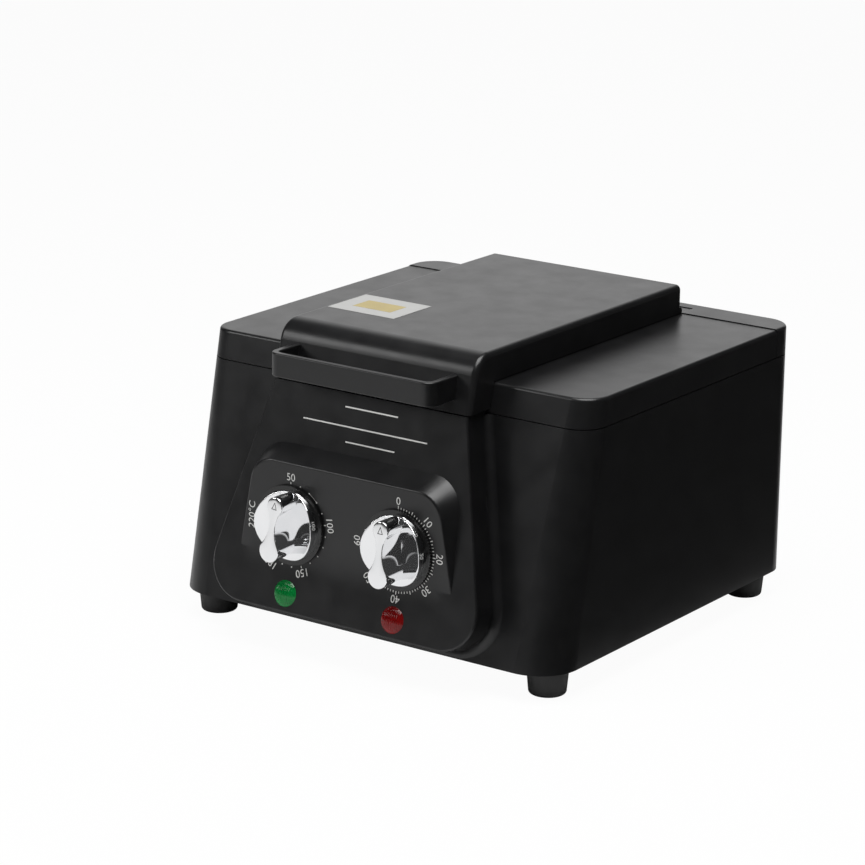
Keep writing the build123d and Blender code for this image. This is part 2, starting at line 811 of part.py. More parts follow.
# Clips that hold the heater up against the tank
clip_radius = heater_radius + seat_gap
with BuildPart() as heater_clips:
    for row in (chamber_middle - clip_spacing / 2, chamber_middle + clip_spacing / 2):
        with BuildSketch(Plane(origin=(0, row, 0), x_dir=(1, 0, 0), z_dir=(0, -1, 0))):
            add(discs(heater_places, clip_radius + clip_wall))
            with Locations(*heater_places):
                Rectangle(
                    2 * (clip_radius + clip_wall),
                    2 * (clip_radius + clip_wall),
                    align=(Align.CENTER, Align.MIN),
                )
            with Locations(*[(x, chamber_floor) for x, level in heater_places]):
                Rectangle(
                    2 * (clip_radius + clip_wall + clip_tab),
                    clip_wall,
                    align=(Align.CENTER, Align.MAX),
                )
            with Locations(*heater_places):
                Rectangle(
                    2 * clip_radius,
                    chamber_depth,
                    align=(Align.CENTER, Align.MIN),
                    mode=Mode.SUBTRACT,
                )
            add(discs(heater_places, clip_radius), mode=Mode.SUBTRACT)
            with Locations((0, chamber_floor)):
                Rectangle(
                    2 * chamber_half_width,
                    chamber_depth,
                    align=(Align.CENTER, Align.MIN),
                    mode=Mode.SUBTRACT,
                )
        extrude(amount=clip_width)

# Over-temperature cut-out on the front of the heat shield
shield_front_plane = chamber_front_plane.offset(shield_margin + shield_wall)
with BuildPart() as thermal_cutout:
    with BuildSketch(shield_front_plane):
        with Locations((0, cutout_level)):
            SlotOverall(4 * cutout_radius, cutout_radius)
    extrude(amount=shield_wall)
    with BuildSketch(shield_front_plane):
        with Locations((0, cutout_level)):
            Circle(cutout_radius)
    extrude(amount=cutout_depth)

# Temperature control and timer, each with a bush that takes its knob's shaft
temperature_place = knob_places[0]
timer_place = knob_places[1]
with BuildPart() as temperature_control:
    with BuildSketch(boss_plane.offset(-wall)):
        with Locations(temperature_place):
            Rectangle(temperature_control_width, temperature_control_height)
    extrude(amount=-temperature_control_depth)
    with BuildSketch(boss_plane.offset(-seat_gap)):
        with Locations(temperature_place):
            Circle(bush_radius)
    extrude(amount=-wall)
    with BuildSketch(boss_plane):
        with Locations(temperature_place):
            Circle(shaft_radius + running_gap)
    extrude(amount=-shaft_length - slot_gap, mode=Mode.SUBTRACT)
    with BuildSketch(boss_plane):
        add(discs(control_screw_places, control_screw_radius))
    extrude(amount=-control_screw_length, mode=Mode.SUBTRACT)

with BuildPart() as timer_movement:
    with BuildSketch(boss_plane.offset(-wall)):
        with Locations(timer_place):
            RectangleRounded(timer_width, timer_height, 2 * wall)
    extrude(amount=-timer_depth)
    with BuildSketch(boss_plane.offset(-seat_gap)):
        with Locations(timer_place):
            Circle(bush_radius)
    extrude(amount=-wall)
    with BuildSketch(boss_plane):
        with Locations(timer_place):
            Circle(shaft_radius + running_gap)
    extrude(amount=-shaft_length - slot_gap, mode=Mode.SUBTRACT)
    with BuildSketch(boss_plane):
        add(discs(control_screw_places, control_screw_radius))
    extrude(amount=-control_screw_length, mode=Mode.SUBTRACT)

with BuildPart() as control_screws:
    with BuildSketch(boss_plane):
        add(discs(control_screw_places, 2 * control_screw_radius))
    extrude(amount=-control_screw_radius)
    with BuildSketch(boss_plane):
        add(discs(control_screw_places, control_screw_radius))
    extrude(amount=-control_screw_length)

# Sensing bulb under the tank, and its capillary back to the control
bulb_front = chamber_front - heater_radius
control_rear = boss_face + wall + temperature_control_depth
with BuildPart() as sensor_line:
    with BuildSketch(Plane(origin=(0, bulb_front, 0), x_dir=(-1, 0, 0), z_dir=(0, 1, 0))):
        with Locations((0, heater_level)):
            Circle(bulb_radius)
    extrude(amount=bulb_length)
    with BuildLine() as capillary_path:
        Spline(
            (temperature_place[0], control_rear, knob_level),
            (0, bulb_front, heater_level),
            tangents=[(0, 1, 0), (0, 1, 0)],
        )
    with BuildSketch(Plane(origin=(0, control_rear, 0), x_dir=(-1, 0, 0), z_dir=(0, 1, 0))):
        with Locations((-temperature_place[0], knob_level)):
            Circle(capillary_radius)
    sweep(path=capillary_path.wire())

# Knobs: a skirt disc, a cap with two scoops and a grip bar, and a shaft
grip_angle = radians(grip_slope)
grip_end = grip_tail_centre + grip_tail_radius


def knob_plane(place):
    """Plane on the boss face under a knob."""
    return Plane(origin=(place[0], boss_face, place[1]), x_dir=(1, 0, 0), z_dir=(0, -1, 0))


def knob_cap(place):
    """Cap with an arched rim and a waisted grip bar that slopes up to its tail."""
    seat = knob_plane(place)
    seat_height = skirt_lift + skirt_thickness
    grip_top = Plane(
        origin=(place[0], boss_face - knob_height, place[1] - grip_end),
        x_dir=(1, 0, 0),
        z_dir=(0, -cos(grip_angle), sin(grip_angle)),
    )
    with BuildPart() as cap:
        with BuildSketch(seat.offset(seat_height)):
            Circle(cap_radius)
        extrude(amount=cap_rim_height - seat_height, taper=cap_draft)
        # The two scoops are one trough along the bar, deepest at its foot
        with BuildSketch(Plane(origin=seat.origin, x_dir=(1, 0, 0), z_dir=(0, 0, 1))):
            with BuildLine():
                ThreePointArc(
                    (-cap_radius, -cap_rim_height),
                    (0, -cap_valley_height),
                    (cap_radius, -cap_rim_height),
                )
                Line((cap_radius, -cap_rim_height), (cap_radius, -knob_height))
                Line((cap_radius, -knob_height), (-cap_radius, -knob_height))
                Line((-cap_radius, -knob_height), (-cap_radius, -cap_rim_height))
            make_face()
        extrude(amount=cap_radius, both=True, mode=Mode.SUBTRACT)
        # Grip bar: two round ends joined by a waist
        with BuildSketch(seat.offset(seat_height)):
            with Locations((0, grip_pad_centre)):
                Circle(grip_pad_radius)
            with Locations((0, -grip_tail_centre)):
                Circle(grip_tail_radius)
            with BuildLine():
                Line((-grip_tail_radius, -grip_tail_centre), (grip_tail_radius, -grip_tail_centre))
                ThreePointArc(
                    (grip_tail_radius, -grip_tail_centre),
                    (grip_waist, grip_waist_centre),
                    (grip_pad_radius, grip_pad_centre),
                )
                Line((grip_pad_radius, grip_pad_centre), (-grip_pad_radius, grip_pad_centre))
                ThreePointArc(
                    (-grip_pad_radius, grip_pad_centre),
                    (-grip_waist, grip_waist_centre),
                    (-grip_tail_radius, -grip_tail_centre),
                )
            make_face()
        extrude(amount=knob_height)
        with BuildSketch(grip_top):
            Rectangle(4 * cap_radius, 4 * cap_radius)
        extrude(amount=knob_height, mode=Mode.SUBTRACT)
        fillet(cap.faces().sort_by(Axis((0, 0, 0), grip_top.z_dir))[-1].edges(), grip_edge)
        # Pointer mark on the pad, and the socket for the shaft
        with BuildSketch(grip_top):
            with BuildLine():
                Polyline(
                    (-pointer_half, grip_end + grip_pad_centre - pointer_length / 2),
                    (pointer_half, grip_end + grip_pad_centre - pointer_length / 2),
                    (0, grip_end + grip_pad_centre + pointer_length / 2),
                    close=True,
                )
            make_face()
        extrude(amount=-pointer_depth, mode=Mode.SUBTRACT)
        with BuildSketch(seat):
            Circle(shaft_radius)
        extrude(amount=seat_height + shaft_socket, mode=Mode.SUBTRACT)
    return cap.part


def knob_skirt(place):
    """Flat disc that carries the cap just clear of the boss."""
    with BuildPart() as skirt:
        with BuildSketch(knob_plane(place).offset(skirt_lift)):
            Circle(skirt_radius)
            Circle(shaft_radius, mode=Mode.SUBTRACT)
        extrude(amount=skirt_thickness)
    return skirt.part


def knob_shaft(place):
    """Shaft from the cap's socket into the control's bush."""
    with BuildPart() as shaft:
        with BuildSketch(knob_plane(place).offset(-shaft_length)):
            Circle(shaft_radius)
        extrude(amount=shaft_length + skirt_lift + skirt_thickness + shaft_socket)
    return shaft.part


temperature_knob = knob_cap(temperature_place)
temperature_skirt = knob_skirt(temperature_place)
temperature_shaft = knob_shaft(temperature_place)
timer_knob = knob_cap(timer_place)
timer_skirt = knob_skirt(timer_place)
timer_shaft = knob_shaft(timer_place)

# Lamps: a domed lens on the panel, a holder behind it
dome_radius = (lens_radius**2 + lens_height**2) / (2 * lens_height)
dome_start = degrees(acos(lens_radius / dome_radius))


def lamp_lens(place):
    """Domed lens seated on the panel's face."""
    base = panel_plane.from_local_coords((place[0], place[1], 0))
    profile_plane = Plane(origin=base, x_dir=(1, 0, 0), z_dir=(0, -sin(lean), -cos(lean)))
    with BuildPart() as lens:
        with BuildSketch(profile_plane):
            with BuildLine():
                Line((0, 0), (lens_radius, 0))
                CenterArc((0, lens_height - dome_radius), dome_radius, dome_start, 90 - dome_start)
                Line((0, lens_height), (0, 0))
            make_face()
        revolve(axis=Axis(base, panel_plane.z_dir))
    return lens.part


def lamp_holder(place):
    """Barrel through the panel with a nut behind it."""
    with BuildPart() as holder:
        with BuildSketch(panel_plane):
            with Locations(place):
                Circle(lamp_holder_radius)
        extrude(amount=-lamp_holder_length)
        with BuildSketch(panel_plane.offset(-wall)):
            with Locations(place):
                Circle(lamp_nut_radius)
        extrude(amount=-lamp_nut_thickness)
    return holder.part


power_lamp_lens = lamp_lens(lamp_places[0])
power_lamp_holder = lamp_holder(lamp_places[0])
heat_lamp_lens = lamp_lens(lamp_places[1])
heat_lamp_holder = lamp_holder(lamp_places[1])

# Inlet for the supply cord in the rear wall
gland_place = (-gland_offset, gland_level)
with BuildPart() as cord_gland:
    with BuildSketch(rear_plane):
        add(discs([gland_place], gland_flange_radius))
    extrude(amount=gland_flange)
    with BuildSketch(rear_plane):
        add(discs([gland_place], gland_radius))
    extrude(amount=-wall - gland_reach)
    with BuildSketch(rear_plane.offset(gland_flange)):
        add(discs([gland_place], gland_bore_radius))
    extrude(amount=-gland_flange - wall - gland_reach, mode=Mode.SUBTRACT)

with BuildPart() as gland_nut:
    with BuildSketch(rear_plane.offset(-wall)):
        with Locations(gland_place):
            RegularPolygon(gland_nut_radius, 6)
            Circle(gland_radius, mode=Mode.SUBTRACT)
    extrude(amount=-gland_nut_thickness)

# Terminal block and earth stud on the base plate
base_inside = foot_height + base_plate_thickness
terminal_y = cover_rear - terminal_setback
with BuildPart() as terminal_block:
    with BuildSketch(Plane.XY.offset(base_inside)):
        with Locations((gland_offset, terminal_y)):
            Rectangle(terminal_length, terminal_depth)
    extrude(amount=terminal_height)
    with BuildSketch(Plane.XY.offset(base_inside + terminal_height)):
        with Locations((gland_offset, terminal_y)):
            with GridLocations(terminal_length / terminal_wells, terminal_depth / 2, terminal_wells, 2):
                Circle(screw_head_radius)
    extrude(amount=-terminal_height / 2, mode=Mode.SUBTRACT)

with BuildPart() as earth_stud:
    with BuildSketch(Plane.XY.offset(base_inside)):
        with Locations((0, cover_rear - earth_stud_setback)):
            Circle(earth_stud_radius)
    extrude(amount=earth_stud_height)
    with BuildSketch(Plane.XY.offset(base_inside)):
        with Locations((0, cover_rear - earth_stud_setback)):
            RegularPolygon(earth_nut_radius, 6)
    extrude(amount=earth_nut_thickness)

# Lid: a shell whose front drops as an apron over the cover's edge
inner_front = lid_wall * lean_gap
apron_floor = apron_bottom + lid_wall
lid_ceiling = lid_top - lid_wall
with BuildPart() as lid_room:
    with BuildSketch(Plane.YZ) as lid_room_view:
        add(
            side_view(
                [
                    (panel_at(apron_floor) + inner_front, apron_floor),
                    (panel_at(lid_ceiling) + inner_front, lid_ceiling),
                    (lid_rear - lid_wall, lid_ceiling),
                    (lid_rear - lid_wall, lid_bottom - lid_wall),
                    (front_at(lid_bottom) - apron_gap, lid_bottom - lid_wall),
                    (front_at(lid_bottom) - apron_gap, lid_bottom),
                    (front_at(lid_bottom) - apron_gap - inner_front, lid_bottom),
                    (front_at(apron_floor) - apron_gap - inner_front, apron_floor),
                ]
            )
        )
        room_bend = lid_room_view.vertices().group_by(Axis.Y)[-1].sort_by(Axis.X)[0]
        fillet(room_bend, lid_bend - lid_wall)
    extrude(amount=lid_half_width - lid_wall, both=True)

handle_screw_x = handle_half_width - handle_thickness / 2
handle_screw_rows = (
    slope_at(handle_bottom + handle_height / 4),
    slope_at(handle_bottom + 3 * handle_height / 4),
)
handle_screw_places = [(side * handle_screw_x, row) for side in (-1, 1) for row in handle_screw_rows]
lid_screw_plane = Plane(
    origin=(0, lid_rear + leaf_thickness, hinge_z + leaf_width / 2),
    x_dir=(-1, 0, 0),
    z_dir=(0, 1, 0),
)
with BuildPart() as lid_cover:
    with BuildSketch(Plane.YZ) as lid_view:
        add(
            side_view(
                [
                    (panel_at(apron_bottom), apron_bottom),
                    (panel_at(lid_top), lid_top),
                    (lid_rear, lid_top),
                    (lid_rear, lid_bottom),
                    (front_at(lid_bottom) - apron_gap, lid_bottom),
                    (front_at(apron_bottom) - apron_gap, apron_bottom),
                ]
            )
        )
        fillet(lid_view.vertices().group_by(Axis.Y)[-1].sort_by(Axis.X)[0], lid_bend)
    extrude(amount=lid_half_width, both=True)
    soft_edges = [
        edge
        for edge in lid_cover.edges()
        if abs(abs(edge.center().X) - lid_half_width) < running_gap
        and (edge.center().Z > lid_top - lid_bend / 2 or edge.center().Y < panel_at(apron_bottom) + 5)
    ]
    fillet(soft_edges, lid_side_edge)
    add(lid_room.part, mode=Mode.SUBTRACT)
    # Bosses for the liner's screws, and a pad for the hinge's
    with BuildSketch(Plane.XY.offset(plug_bottom + liner_wall)):
        add(discs(liner_screw_places, lid_boss_radius))
        add(discs(liner_screw_places, screw_radius), mode=Mode.SUBTRACT)
    extrude(amount=lid_ceiling - plug_bottom - liner_wall + lid_wall / 3)
    with BuildSketch(lid_screw_plane.offset(-leaf_thickness - lid_wall / 2)):
        Rectangle(2 * (lid_half_width - lid_wall), hinge_pad_height)
    extrude(amount=-hinge_pad_thickness)
    with BuildSketch(lid_screw_plane):
        add(discs([(x, 0) for x in hinge_screw_x], hinge_screw_radius))
    extrude(amount=-hinge_screw_length, mode=Mode.SUBTRACT)
    with BuildSketch(panel_plane):
        add(discs(handle_screw_places, control_screw_radius))
    extrude(amount=-2 * lid_wall, mode=Mode.SUBTRACT)

# Liner: a sheet pan whose plug drops into the tank's mouth
liner_front = panel_at(liner_level) + inner_front + liner_front_gap
with BuildPart() as lid_liner:
    with BuildSketch(Plane.XY.offset(plug_bottom)):
        add(tank_outline(-liner_inset))
    extrude(amount=liner_drop)
    fillet(lid_liner.edges().group_by(Axis.Z)[0], liner_inset)
    with BuildSketch(Plane.XY.offset(liner_level)) as liner_view:
        with BuildLine():
            Polyline(
                (lid_wall + slot_gap - lid_half_width, liner_front),
                (lid_half_width - lid_wall - slot_gap, liner_front),
                (lid_half_width - lid_wall - slot_gap, lid_rear - lid_wall - slot_gap),
                (lid_wall + slot_gap - lid_half_width, lid_rear - lid_wall - slot_gap),
                close=True,
            )
        make_face()
    extrude(amount=liner_wall)

with BuildPart() as liner_room:
    with BuildSketch(Plane.XY.offset(plug_bottom + liner_wall)):
        add(tank_outline(-liner_inset - liner_wall))
    extrude(amount=liner_drop + liner_wall)
    fillet(liner_room.edges().group_by(Axis.Z)[0], liner_inset - liner_wall)
    with BuildSketch(Plane.XY.offset(plug_bottom)):
        add(discs(liner_screw_places, screw_radius + screw_gap))
    extrude(amount=liner_wall)

lid_liner.part = lid_liner.part - liner_room.part

plug_under = Plane(origin=(0, 0, plug_bottom), x_dir=(-1, 0, 0), z_dir=(0, 0, -1))
with BuildPart() as liner_screws:
    with BuildSketch(plug_under):
        add(discs([(-x, y) for x, y in liner_screw_places], screw_head_radius))
    extrude(amount=screw_head_height)
    with BuildSketch(plug_under):
        add(discs([(-x, y) for x, y in liner_screw_places], screw_radius))
    extrude(amount=-screw_length)

with BuildPart() as lid_insulation:
    with BuildSketch(Plane.XY.offset(plug_bottom + liner_wall)):
        add(tank_outline(-2 * liner_inset - liner_wall))
        add(discs(liner_screw_places, lid_boss_radius + seat_gap), mode=Mode.SUBTRACT)
    extrude(amount=lid_ceiling - plug_bottom - liner_wall - slot_gap)

# Gasket: pressed to the liner, just clear of the tank's flange when closed
with BuildPart() as lid_gasket:
    with BuildSketch(Plane.XY.offset(liner_level)):
        add(tank_outline(flange_width))
        add(tank_outline(flange_width - gasket_inset), mode=Mode.SUBTRACT)
    extrude(amount=cover_top + seat_gap - liner_level)

# Handle: a strap bent round the lid's front
handle_front = panel_at(handle_bottom + handle_height / 2) - handle_reach
with BuildPart() as handle:
    with BuildSketch(Plane.XY.offset(handle_bottom)) as handle_view:
        with Locations((0, handle_front + handle_reach)):
            Rectangle(2 * handle_half_width, 2 * handle_reach)
        fillet(handle_view.vertices().group_by(Axis.Y)[0], handle_corner)
        with BuildSketch(mode=Mode.SUBTRACT) as strap_room:
            with Locations((0, handle_front + handle_thickness + handle_reach)):
                Rectangle(2 * (handle_half_width - handle_thickness), 2 * handle_reach)
            fillet(strap_room.vertices().group_by(Axis.Y)[0], handle_corner - handle_thickness)
    extrude(amount=handle_height)
    with BuildSketch(panel_plane):
        with Locations((0, slope_at(handle_bottom))):
            Rectangle(4 * handle_half_width, 4 * handle_reach)
    extrude(amount=-4 * handle_reach, mode=Mode.SUBTRACT)
    long_edges = [
        edge
        for edge in handle.edges().group_by(Axis.Z)[-1] + handle.edges().group_by(Axis.Z)[0]
        if edge.center().Y < panel_at(handle_bottom) - 1
    ]
    fillet(long_edges, handle_edge)
    with BuildSketch(panel_plane):
        add(discs(handle_screw_places, screw_radius / 2 + screw_gap))
    extrude(amount=screw_length, mode=Mode.SUBTRACT)

with BuildPart() as handle_screws:
    with BuildSketch(panel_plane.offset(-lid_wall)):
        add(discs(handle_screw_places, screw_head_radius - screw_gap))
    extrude(amount=-screw_head_height)
    with BuildSketch(panel_plane.offset(-lid_wall)):
        add(discs(handle_screw_places, screw_radius / 2 + screw_gap))
    extrude(amount=screw_length)

# Hinge: knuckles of the two leaves take turns along the pin
knuckle_middles = [
    (index - (hinge_knuckles - 1) / 2) * knuckle_length for index in range(hinge_knuckles)
]
fixed_knuckles = knuckle_middles[0::2]
moving_knuckles = knuckle_middles[1::2]
knuckle_cut = knuckle_radius + knuckle_gap


def knuckles(middles, bore):
    """Barrel pieces on the hinge axis, each short of its neighbours by a gap."""
    with BuildPart() as barrels:
        for middle in middles:
            start = middle - knuckle_length / 2 + knuckle_gap / 2
            with BuildSketch(Plane.YZ.offset(start)):
                with Locations((hinge_y, hinge_z)):
                    Circle(knuckle_radius)
            extrude(amount=knuckle_length - knuckle_gap)
        with BuildSketch(Plane.YZ.offset(-hinge_half_length)):
            with Locations((hinge_y, hinge_z)):
                Circle(bore)
        extrude(amount=2 * hinge_half_length, mode=Mode.SUBTRACT)
    return barrels.part


fixed_barrels = knuckles(fixed_knuckles, hinge_pin_radius)
moving_barrels = knuckles(moving_knuckles, hinge_pin_radius + running_gap)

with BuildPart() as hinge_fixed_leaf:
    with BuildSketch(Plane.XY.offset(recess_floor)):
        with Locations((0, hinge_y + leaf_width / 2)):
            Rectangle(2 * hinge_half_length - knuckle_gap, leaf_width)
        with Locations(*[(middle, hinge_y) for middle in moving_knuckles]):
            Rectangle(knuckle_length + knuckle_gap, 2 * knuckle_cut, mode=Mode.SUBTRACT)
    extrude(amount=leaf_thickness)
    with BuildSketch(Plane.YZ.offset(-hinge_half_length)):
        with Locations((hinge_y, hinge_z)):
            Circle(hinge_pin_radius)
    extrude(amount=2 * hinge_half_length, mode=Mode.SUBTRACT)
    add(fixed_barrels)
    with BuildSketch(Plane.XY.offset(recess_floor)):
        add(discs([(x, hinge_y + leaf_width / 2) for x in hinge_screw_x], hinge_screw_radius + leaf_thickness))
    extrude(amount=leaf_thickness, mode=Mode.SUBTRACT)

with BuildPart() as hinge_moving_leaf:
    with BuildSketch(lid_screw_plane):
        Rectangle(2 * hinge_half_length - knuckle_gap, leaf_width)
        with Locations(*[(middle, -leaf_width / 2) for middle in fixed_knuckles]):
            Rectangle(knuckle_length + knuckle_gap, 2 * knuckle_cut, mode=Mode.SUBTRACT)
    extrude(amount=-leaf_thickness)
    add(moving_barrels)
    with BuildSketch(lid_screw_plane):
        add(discs([(x, 0) for x in hinge_screw_x], hinge_screw_radius + leaf_thickness))
    extrude(amount=-leaf_thickness, mode=Mode.SUBTRACT)

with BuildPart() as hinge_pin:
    with BuildSketch(Plane.YZ.offset(-hinge_half_length)):
        with Locations((hinge_y, hinge_z)):
            Circle(hinge_pin_radius)
    extrude(amount=2 * hinge_half_length)

leaf_top = recess_floor + leaf_thickness
with BuildPart() as hinge_base_screws:
    with BuildSketch(Plane.XY.offset(leaf_top)):
        add(discs([(x, hinge_y + leaf_width / 2) for x in hinge_screw_x], hinge_screw_radius + leaf_thickness))
    extrude(amount=-leaf_thickness)
    with BuildSketch(Plane.XY.offset(leaf_top)):
        add(discs([(x, hinge_y + leaf_width / 2) for x in hinge_screw_x], hinge_screw_radius))
    extrude(amount=-hinge_screw_length - leaf_thickness)

with BuildPart() as hinge_lid_screws:
    with BuildSketch(lid_screw_plane):
        add(discs([(x, 0) for x in hinge_screw_x], hinge_screw_radius + leaf_thickness))
    extrude(amount=-leaf_thickness)
    with BuildSketch(lid_screw_plane):
        add(discs([(x, 0) for x in hinge_screw_x], hinge_screw_radius))
    extrude(amount=-hinge_screw_length)

# One file for each piece
pieces = {
    "housing": housing.part,
    "top_cover": top_cover.part,
    "rear_cap": rear_cap.part,
    "cover_screws": cover_screws.part,
    "base_plate": base_plate.part,
    "base_screws": base_screws.part,
    "foot_front_left": foot_front_left,
    "foot_front_right": foot_front_right,
    "foot_rear_left": foot_rear_left,
    "foot_rear_right": foot_rear_right,
    "foot_screws": foot_screws.part,
    "chamber": chamber.part,
    "flange_screws": flange_screws.part,
    "instrument_tray": instrument_tray.part,
    "insulation": insulation.part,
    "heat_shield": heat_shield.part,
    "hanger_screws": hanger_screws.part,
    "heater": heater.part,
    "heater_clips": heater_clips.part,
    "thermal_cutout": thermal_cutout.part,
    "temperature_control": temperature_control.part,
    "timer_movement": timer_movement.part,
    "control_screws": control_screws.part,
    "sensor_line": sensor_line.part,
    "temperature_knob": temperature_knob,
    "temperature_skirt": temperature_skirt,
    "temperature_shaft": temperature_shaft,
    "timer_knob": timer_knob,
    "timer_skirt": timer_skirt,
    "timer_shaft": timer_shaft,
    "power_lamp_lens": power_lamp_lens,
    "power_lamp_holder": power_lamp_holder,
    "heat_lamp_lens": heat_lamp_lens,
    "heat_lamp_holder": heat_lamp_holder,
    "cord_gland": cord_gland.part,
    "gland_nut": gland_nut.part,
    "terminal_block": terminal_block.part,
    "earth_stud": earth_stud.part,
    "lid_cover": lid_cover.part,
    "lid_liner": lid_liner.part,
    "liner_screws": liner_screws.part,
    "lid_insulation": lid_insulation.part,
    "lid_gasket": lid_gasket.part,
    "handle": handle.part,
    "handle_screws": handle_screws.part,
    "hinge_fixed_leaf": hinge_fixed_leaf.part,
    "hinge_moving_leaf": hinge_moving_leaf.part,
    "hinge_pin": hinge_pin.part,
    "hinge_base_screws": hinge_base_screws.part,
    "hinge_lid_screws": hinge_lid_screws.part,
}
os.makedirs("parts", exist_ok=True)
for name, piece in pieces.items():
    piece.label = name
    export_step(piece, f"parts/{name}.step")
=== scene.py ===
"""Looks of the dry heat sterilizer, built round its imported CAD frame."""

import json
import math

import bpy
from mathutils import Matrix, Vector


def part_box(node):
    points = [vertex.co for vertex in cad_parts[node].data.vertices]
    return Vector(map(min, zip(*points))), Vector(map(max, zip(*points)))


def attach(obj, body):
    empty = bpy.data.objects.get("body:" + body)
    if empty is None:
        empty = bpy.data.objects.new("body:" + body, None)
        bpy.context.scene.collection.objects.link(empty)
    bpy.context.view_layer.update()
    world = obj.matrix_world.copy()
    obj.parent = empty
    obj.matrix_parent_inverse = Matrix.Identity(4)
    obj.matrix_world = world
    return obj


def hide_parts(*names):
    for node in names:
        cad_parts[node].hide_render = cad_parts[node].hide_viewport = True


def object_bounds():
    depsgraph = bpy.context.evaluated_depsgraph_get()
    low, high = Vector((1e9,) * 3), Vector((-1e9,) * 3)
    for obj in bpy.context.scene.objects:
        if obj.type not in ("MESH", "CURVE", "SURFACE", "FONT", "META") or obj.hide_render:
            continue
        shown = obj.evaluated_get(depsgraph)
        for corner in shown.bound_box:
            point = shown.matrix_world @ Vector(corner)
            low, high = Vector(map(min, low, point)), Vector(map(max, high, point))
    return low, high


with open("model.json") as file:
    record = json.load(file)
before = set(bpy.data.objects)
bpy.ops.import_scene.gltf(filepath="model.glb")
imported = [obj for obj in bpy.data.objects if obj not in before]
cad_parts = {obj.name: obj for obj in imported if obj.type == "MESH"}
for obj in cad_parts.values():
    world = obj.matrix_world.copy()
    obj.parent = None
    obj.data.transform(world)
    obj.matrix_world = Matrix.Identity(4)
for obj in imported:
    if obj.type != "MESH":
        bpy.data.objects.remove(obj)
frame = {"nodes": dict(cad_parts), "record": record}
cad_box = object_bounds()
nodes = frame["nodes"]
scene = bpy.context.scene
MM = 0.001

# Places read from the frame, in millimetres
joints = {joint["name"]: joint for joint in frame["record"]["behaviour"]["joints"]}
KNOB_X, BOSS_FACE, KNOB_Z = (value / MM for value in joints["timer_turn"]["pos_m"])
LID_TOP = cad_box[1][2] / MM

# Sizes and places that are the same as in the CAD, in millimetres
BOSS_TOP = 125.5
BOSS_BOTTOM = 40.0
BOSS_HALF_TOP = 71.5
BOSS_HALF_BOTTOM = 87.5
KNOB_HEIGHT = 22.5
COVER_FRONT = -87.95
COVER_TOP = 187.2
PANEL_PROUD = 22.2

# How far the front leans back from upright
LEAN = math.radians(13.6)

# Directions in the frame, and on the leaning panel's face
RIGHT = Vector((1, 0, 0))
BACK = Vector((0, 1, 0))
UP = Vector((0, 0, 1))
PANEL_UP = Vector((0, math.sin(LEAN), math.cos(LEAN)))
PANEL_OUT = Vector((0, -math.cos(LEAN), math.sin(LEAN)))

# Noise of the finishes: its range in use, and its scale for drift, grain and wool
NOISE_LOW = 0.3
NOISE_HIGH = 0.7
DRIFT_SCALE = 60.0
DRIFT_DETAIL = 4.0
GRAIN_SCALE = 1500.0
WOOL_SCALE = 400.0
GRAIN_DETAIL = 2.0
GRAIN_DEPTH = 0.0001


def new_material(name):
    """An empty node material with its tree and its Principled shader."""
    mat = bpy.data.materials.new(name)
    mat.use_nodes = True
    tree = mat.node_tree
    return mat, tree, tree.nodes["Principled BSDF"]


def noise(tree, scale, detail, stretch):
    """Noise over the object's own coordinates, stretched along its axes."""
    coords = tree.nodes.new("ShaderNodeTexCoord")
    mapping = tree.nodes.new("ShaderNodeMapping")
    mapping.inputs["Scale"].default_value = stretch
    tex = tree.nodes.new("ShaderNodeTexNoise")
    tex.inputs["Scale"].default_value = scale
    tex.inputs["Detail"].default_value = detail
    tree.links.new(coords.outputs["Object"], mapping.inputs["Vector"])
    tree.links.new(mapping.outputs["Vector"], tex.inputs["Vector"])
    return tex.outputs["Fac"]


def ranged(tree, value, low, high):
    """A noise value spread over a range."""
    node = tree.nodes.new("ShaderNodeMapRange")
    node.inputs["From Min"].default_value = NOISE_LOW
    node.inputs["From Max"].default_value = NOISE_HIGH
    node.inputs["To Min"].default_value = low
    node.inputs["To Max"].default_value = high
    tree.links.new(value, node.inputs["Value"])
    return node.outputs["Result"]


def two_tone(tree, value, first, second):
    """A colour between two, by a noise value."""
    ramp = tree.nodes.new("ShaderNodeValToRGB")
    low, high = ramp.color_ramp.elements
    low.position = NOISE_LOW
    high.position = NOISE_HIGH
    low.color = (*first, 1)
    high.color = (*second, 1)
    tree.links.new(value, ramp.inputs["Fac"])
    return ramp.outputs["Color"]


def surface(
    name, first, second, rough, metallic=0.0, grain=0.0, grain_scale=GRAIN_SCALE, stretch=(1, 1, 1), **extra
):
    """A surface whose colour and roughness drift slightly, with a fine grain."""
    mat, tree, shader = new_material(name)
    drift = noise(tree, DRIFT_SCALE, DRIFT_DETAIL, stretch)
    tree.links.new(two_tone(tree, drift, first, second), shader.inputs["Base Color"])
    tree.links.new(ranged(tree, drift, *rough), shader.inputs["Roughness"])
    shader.inputs["Metallic"].default_value = metallic
    for socket, value in extra.items():
        shader.inputs[socket.replace("_", " ")].default_value = value
    if grain:
        bump = tree.nodes.new("ShaderNodeBump")
        bump.inputs["Strength"].default_value = grain
        bump.inputs["Distance"].default_value = GRAIN_DEPTH
        tree.links.new(noise(tree, grain_scale, GRAIN_DETAIL, stretch), bump.inputs["Height"])
        tree.links.new(bump.outputs["Normal"], shader.inputs["Normal"])
    return mat


def grey(level):
    """A neutral colour."""
    return (level, level, level)


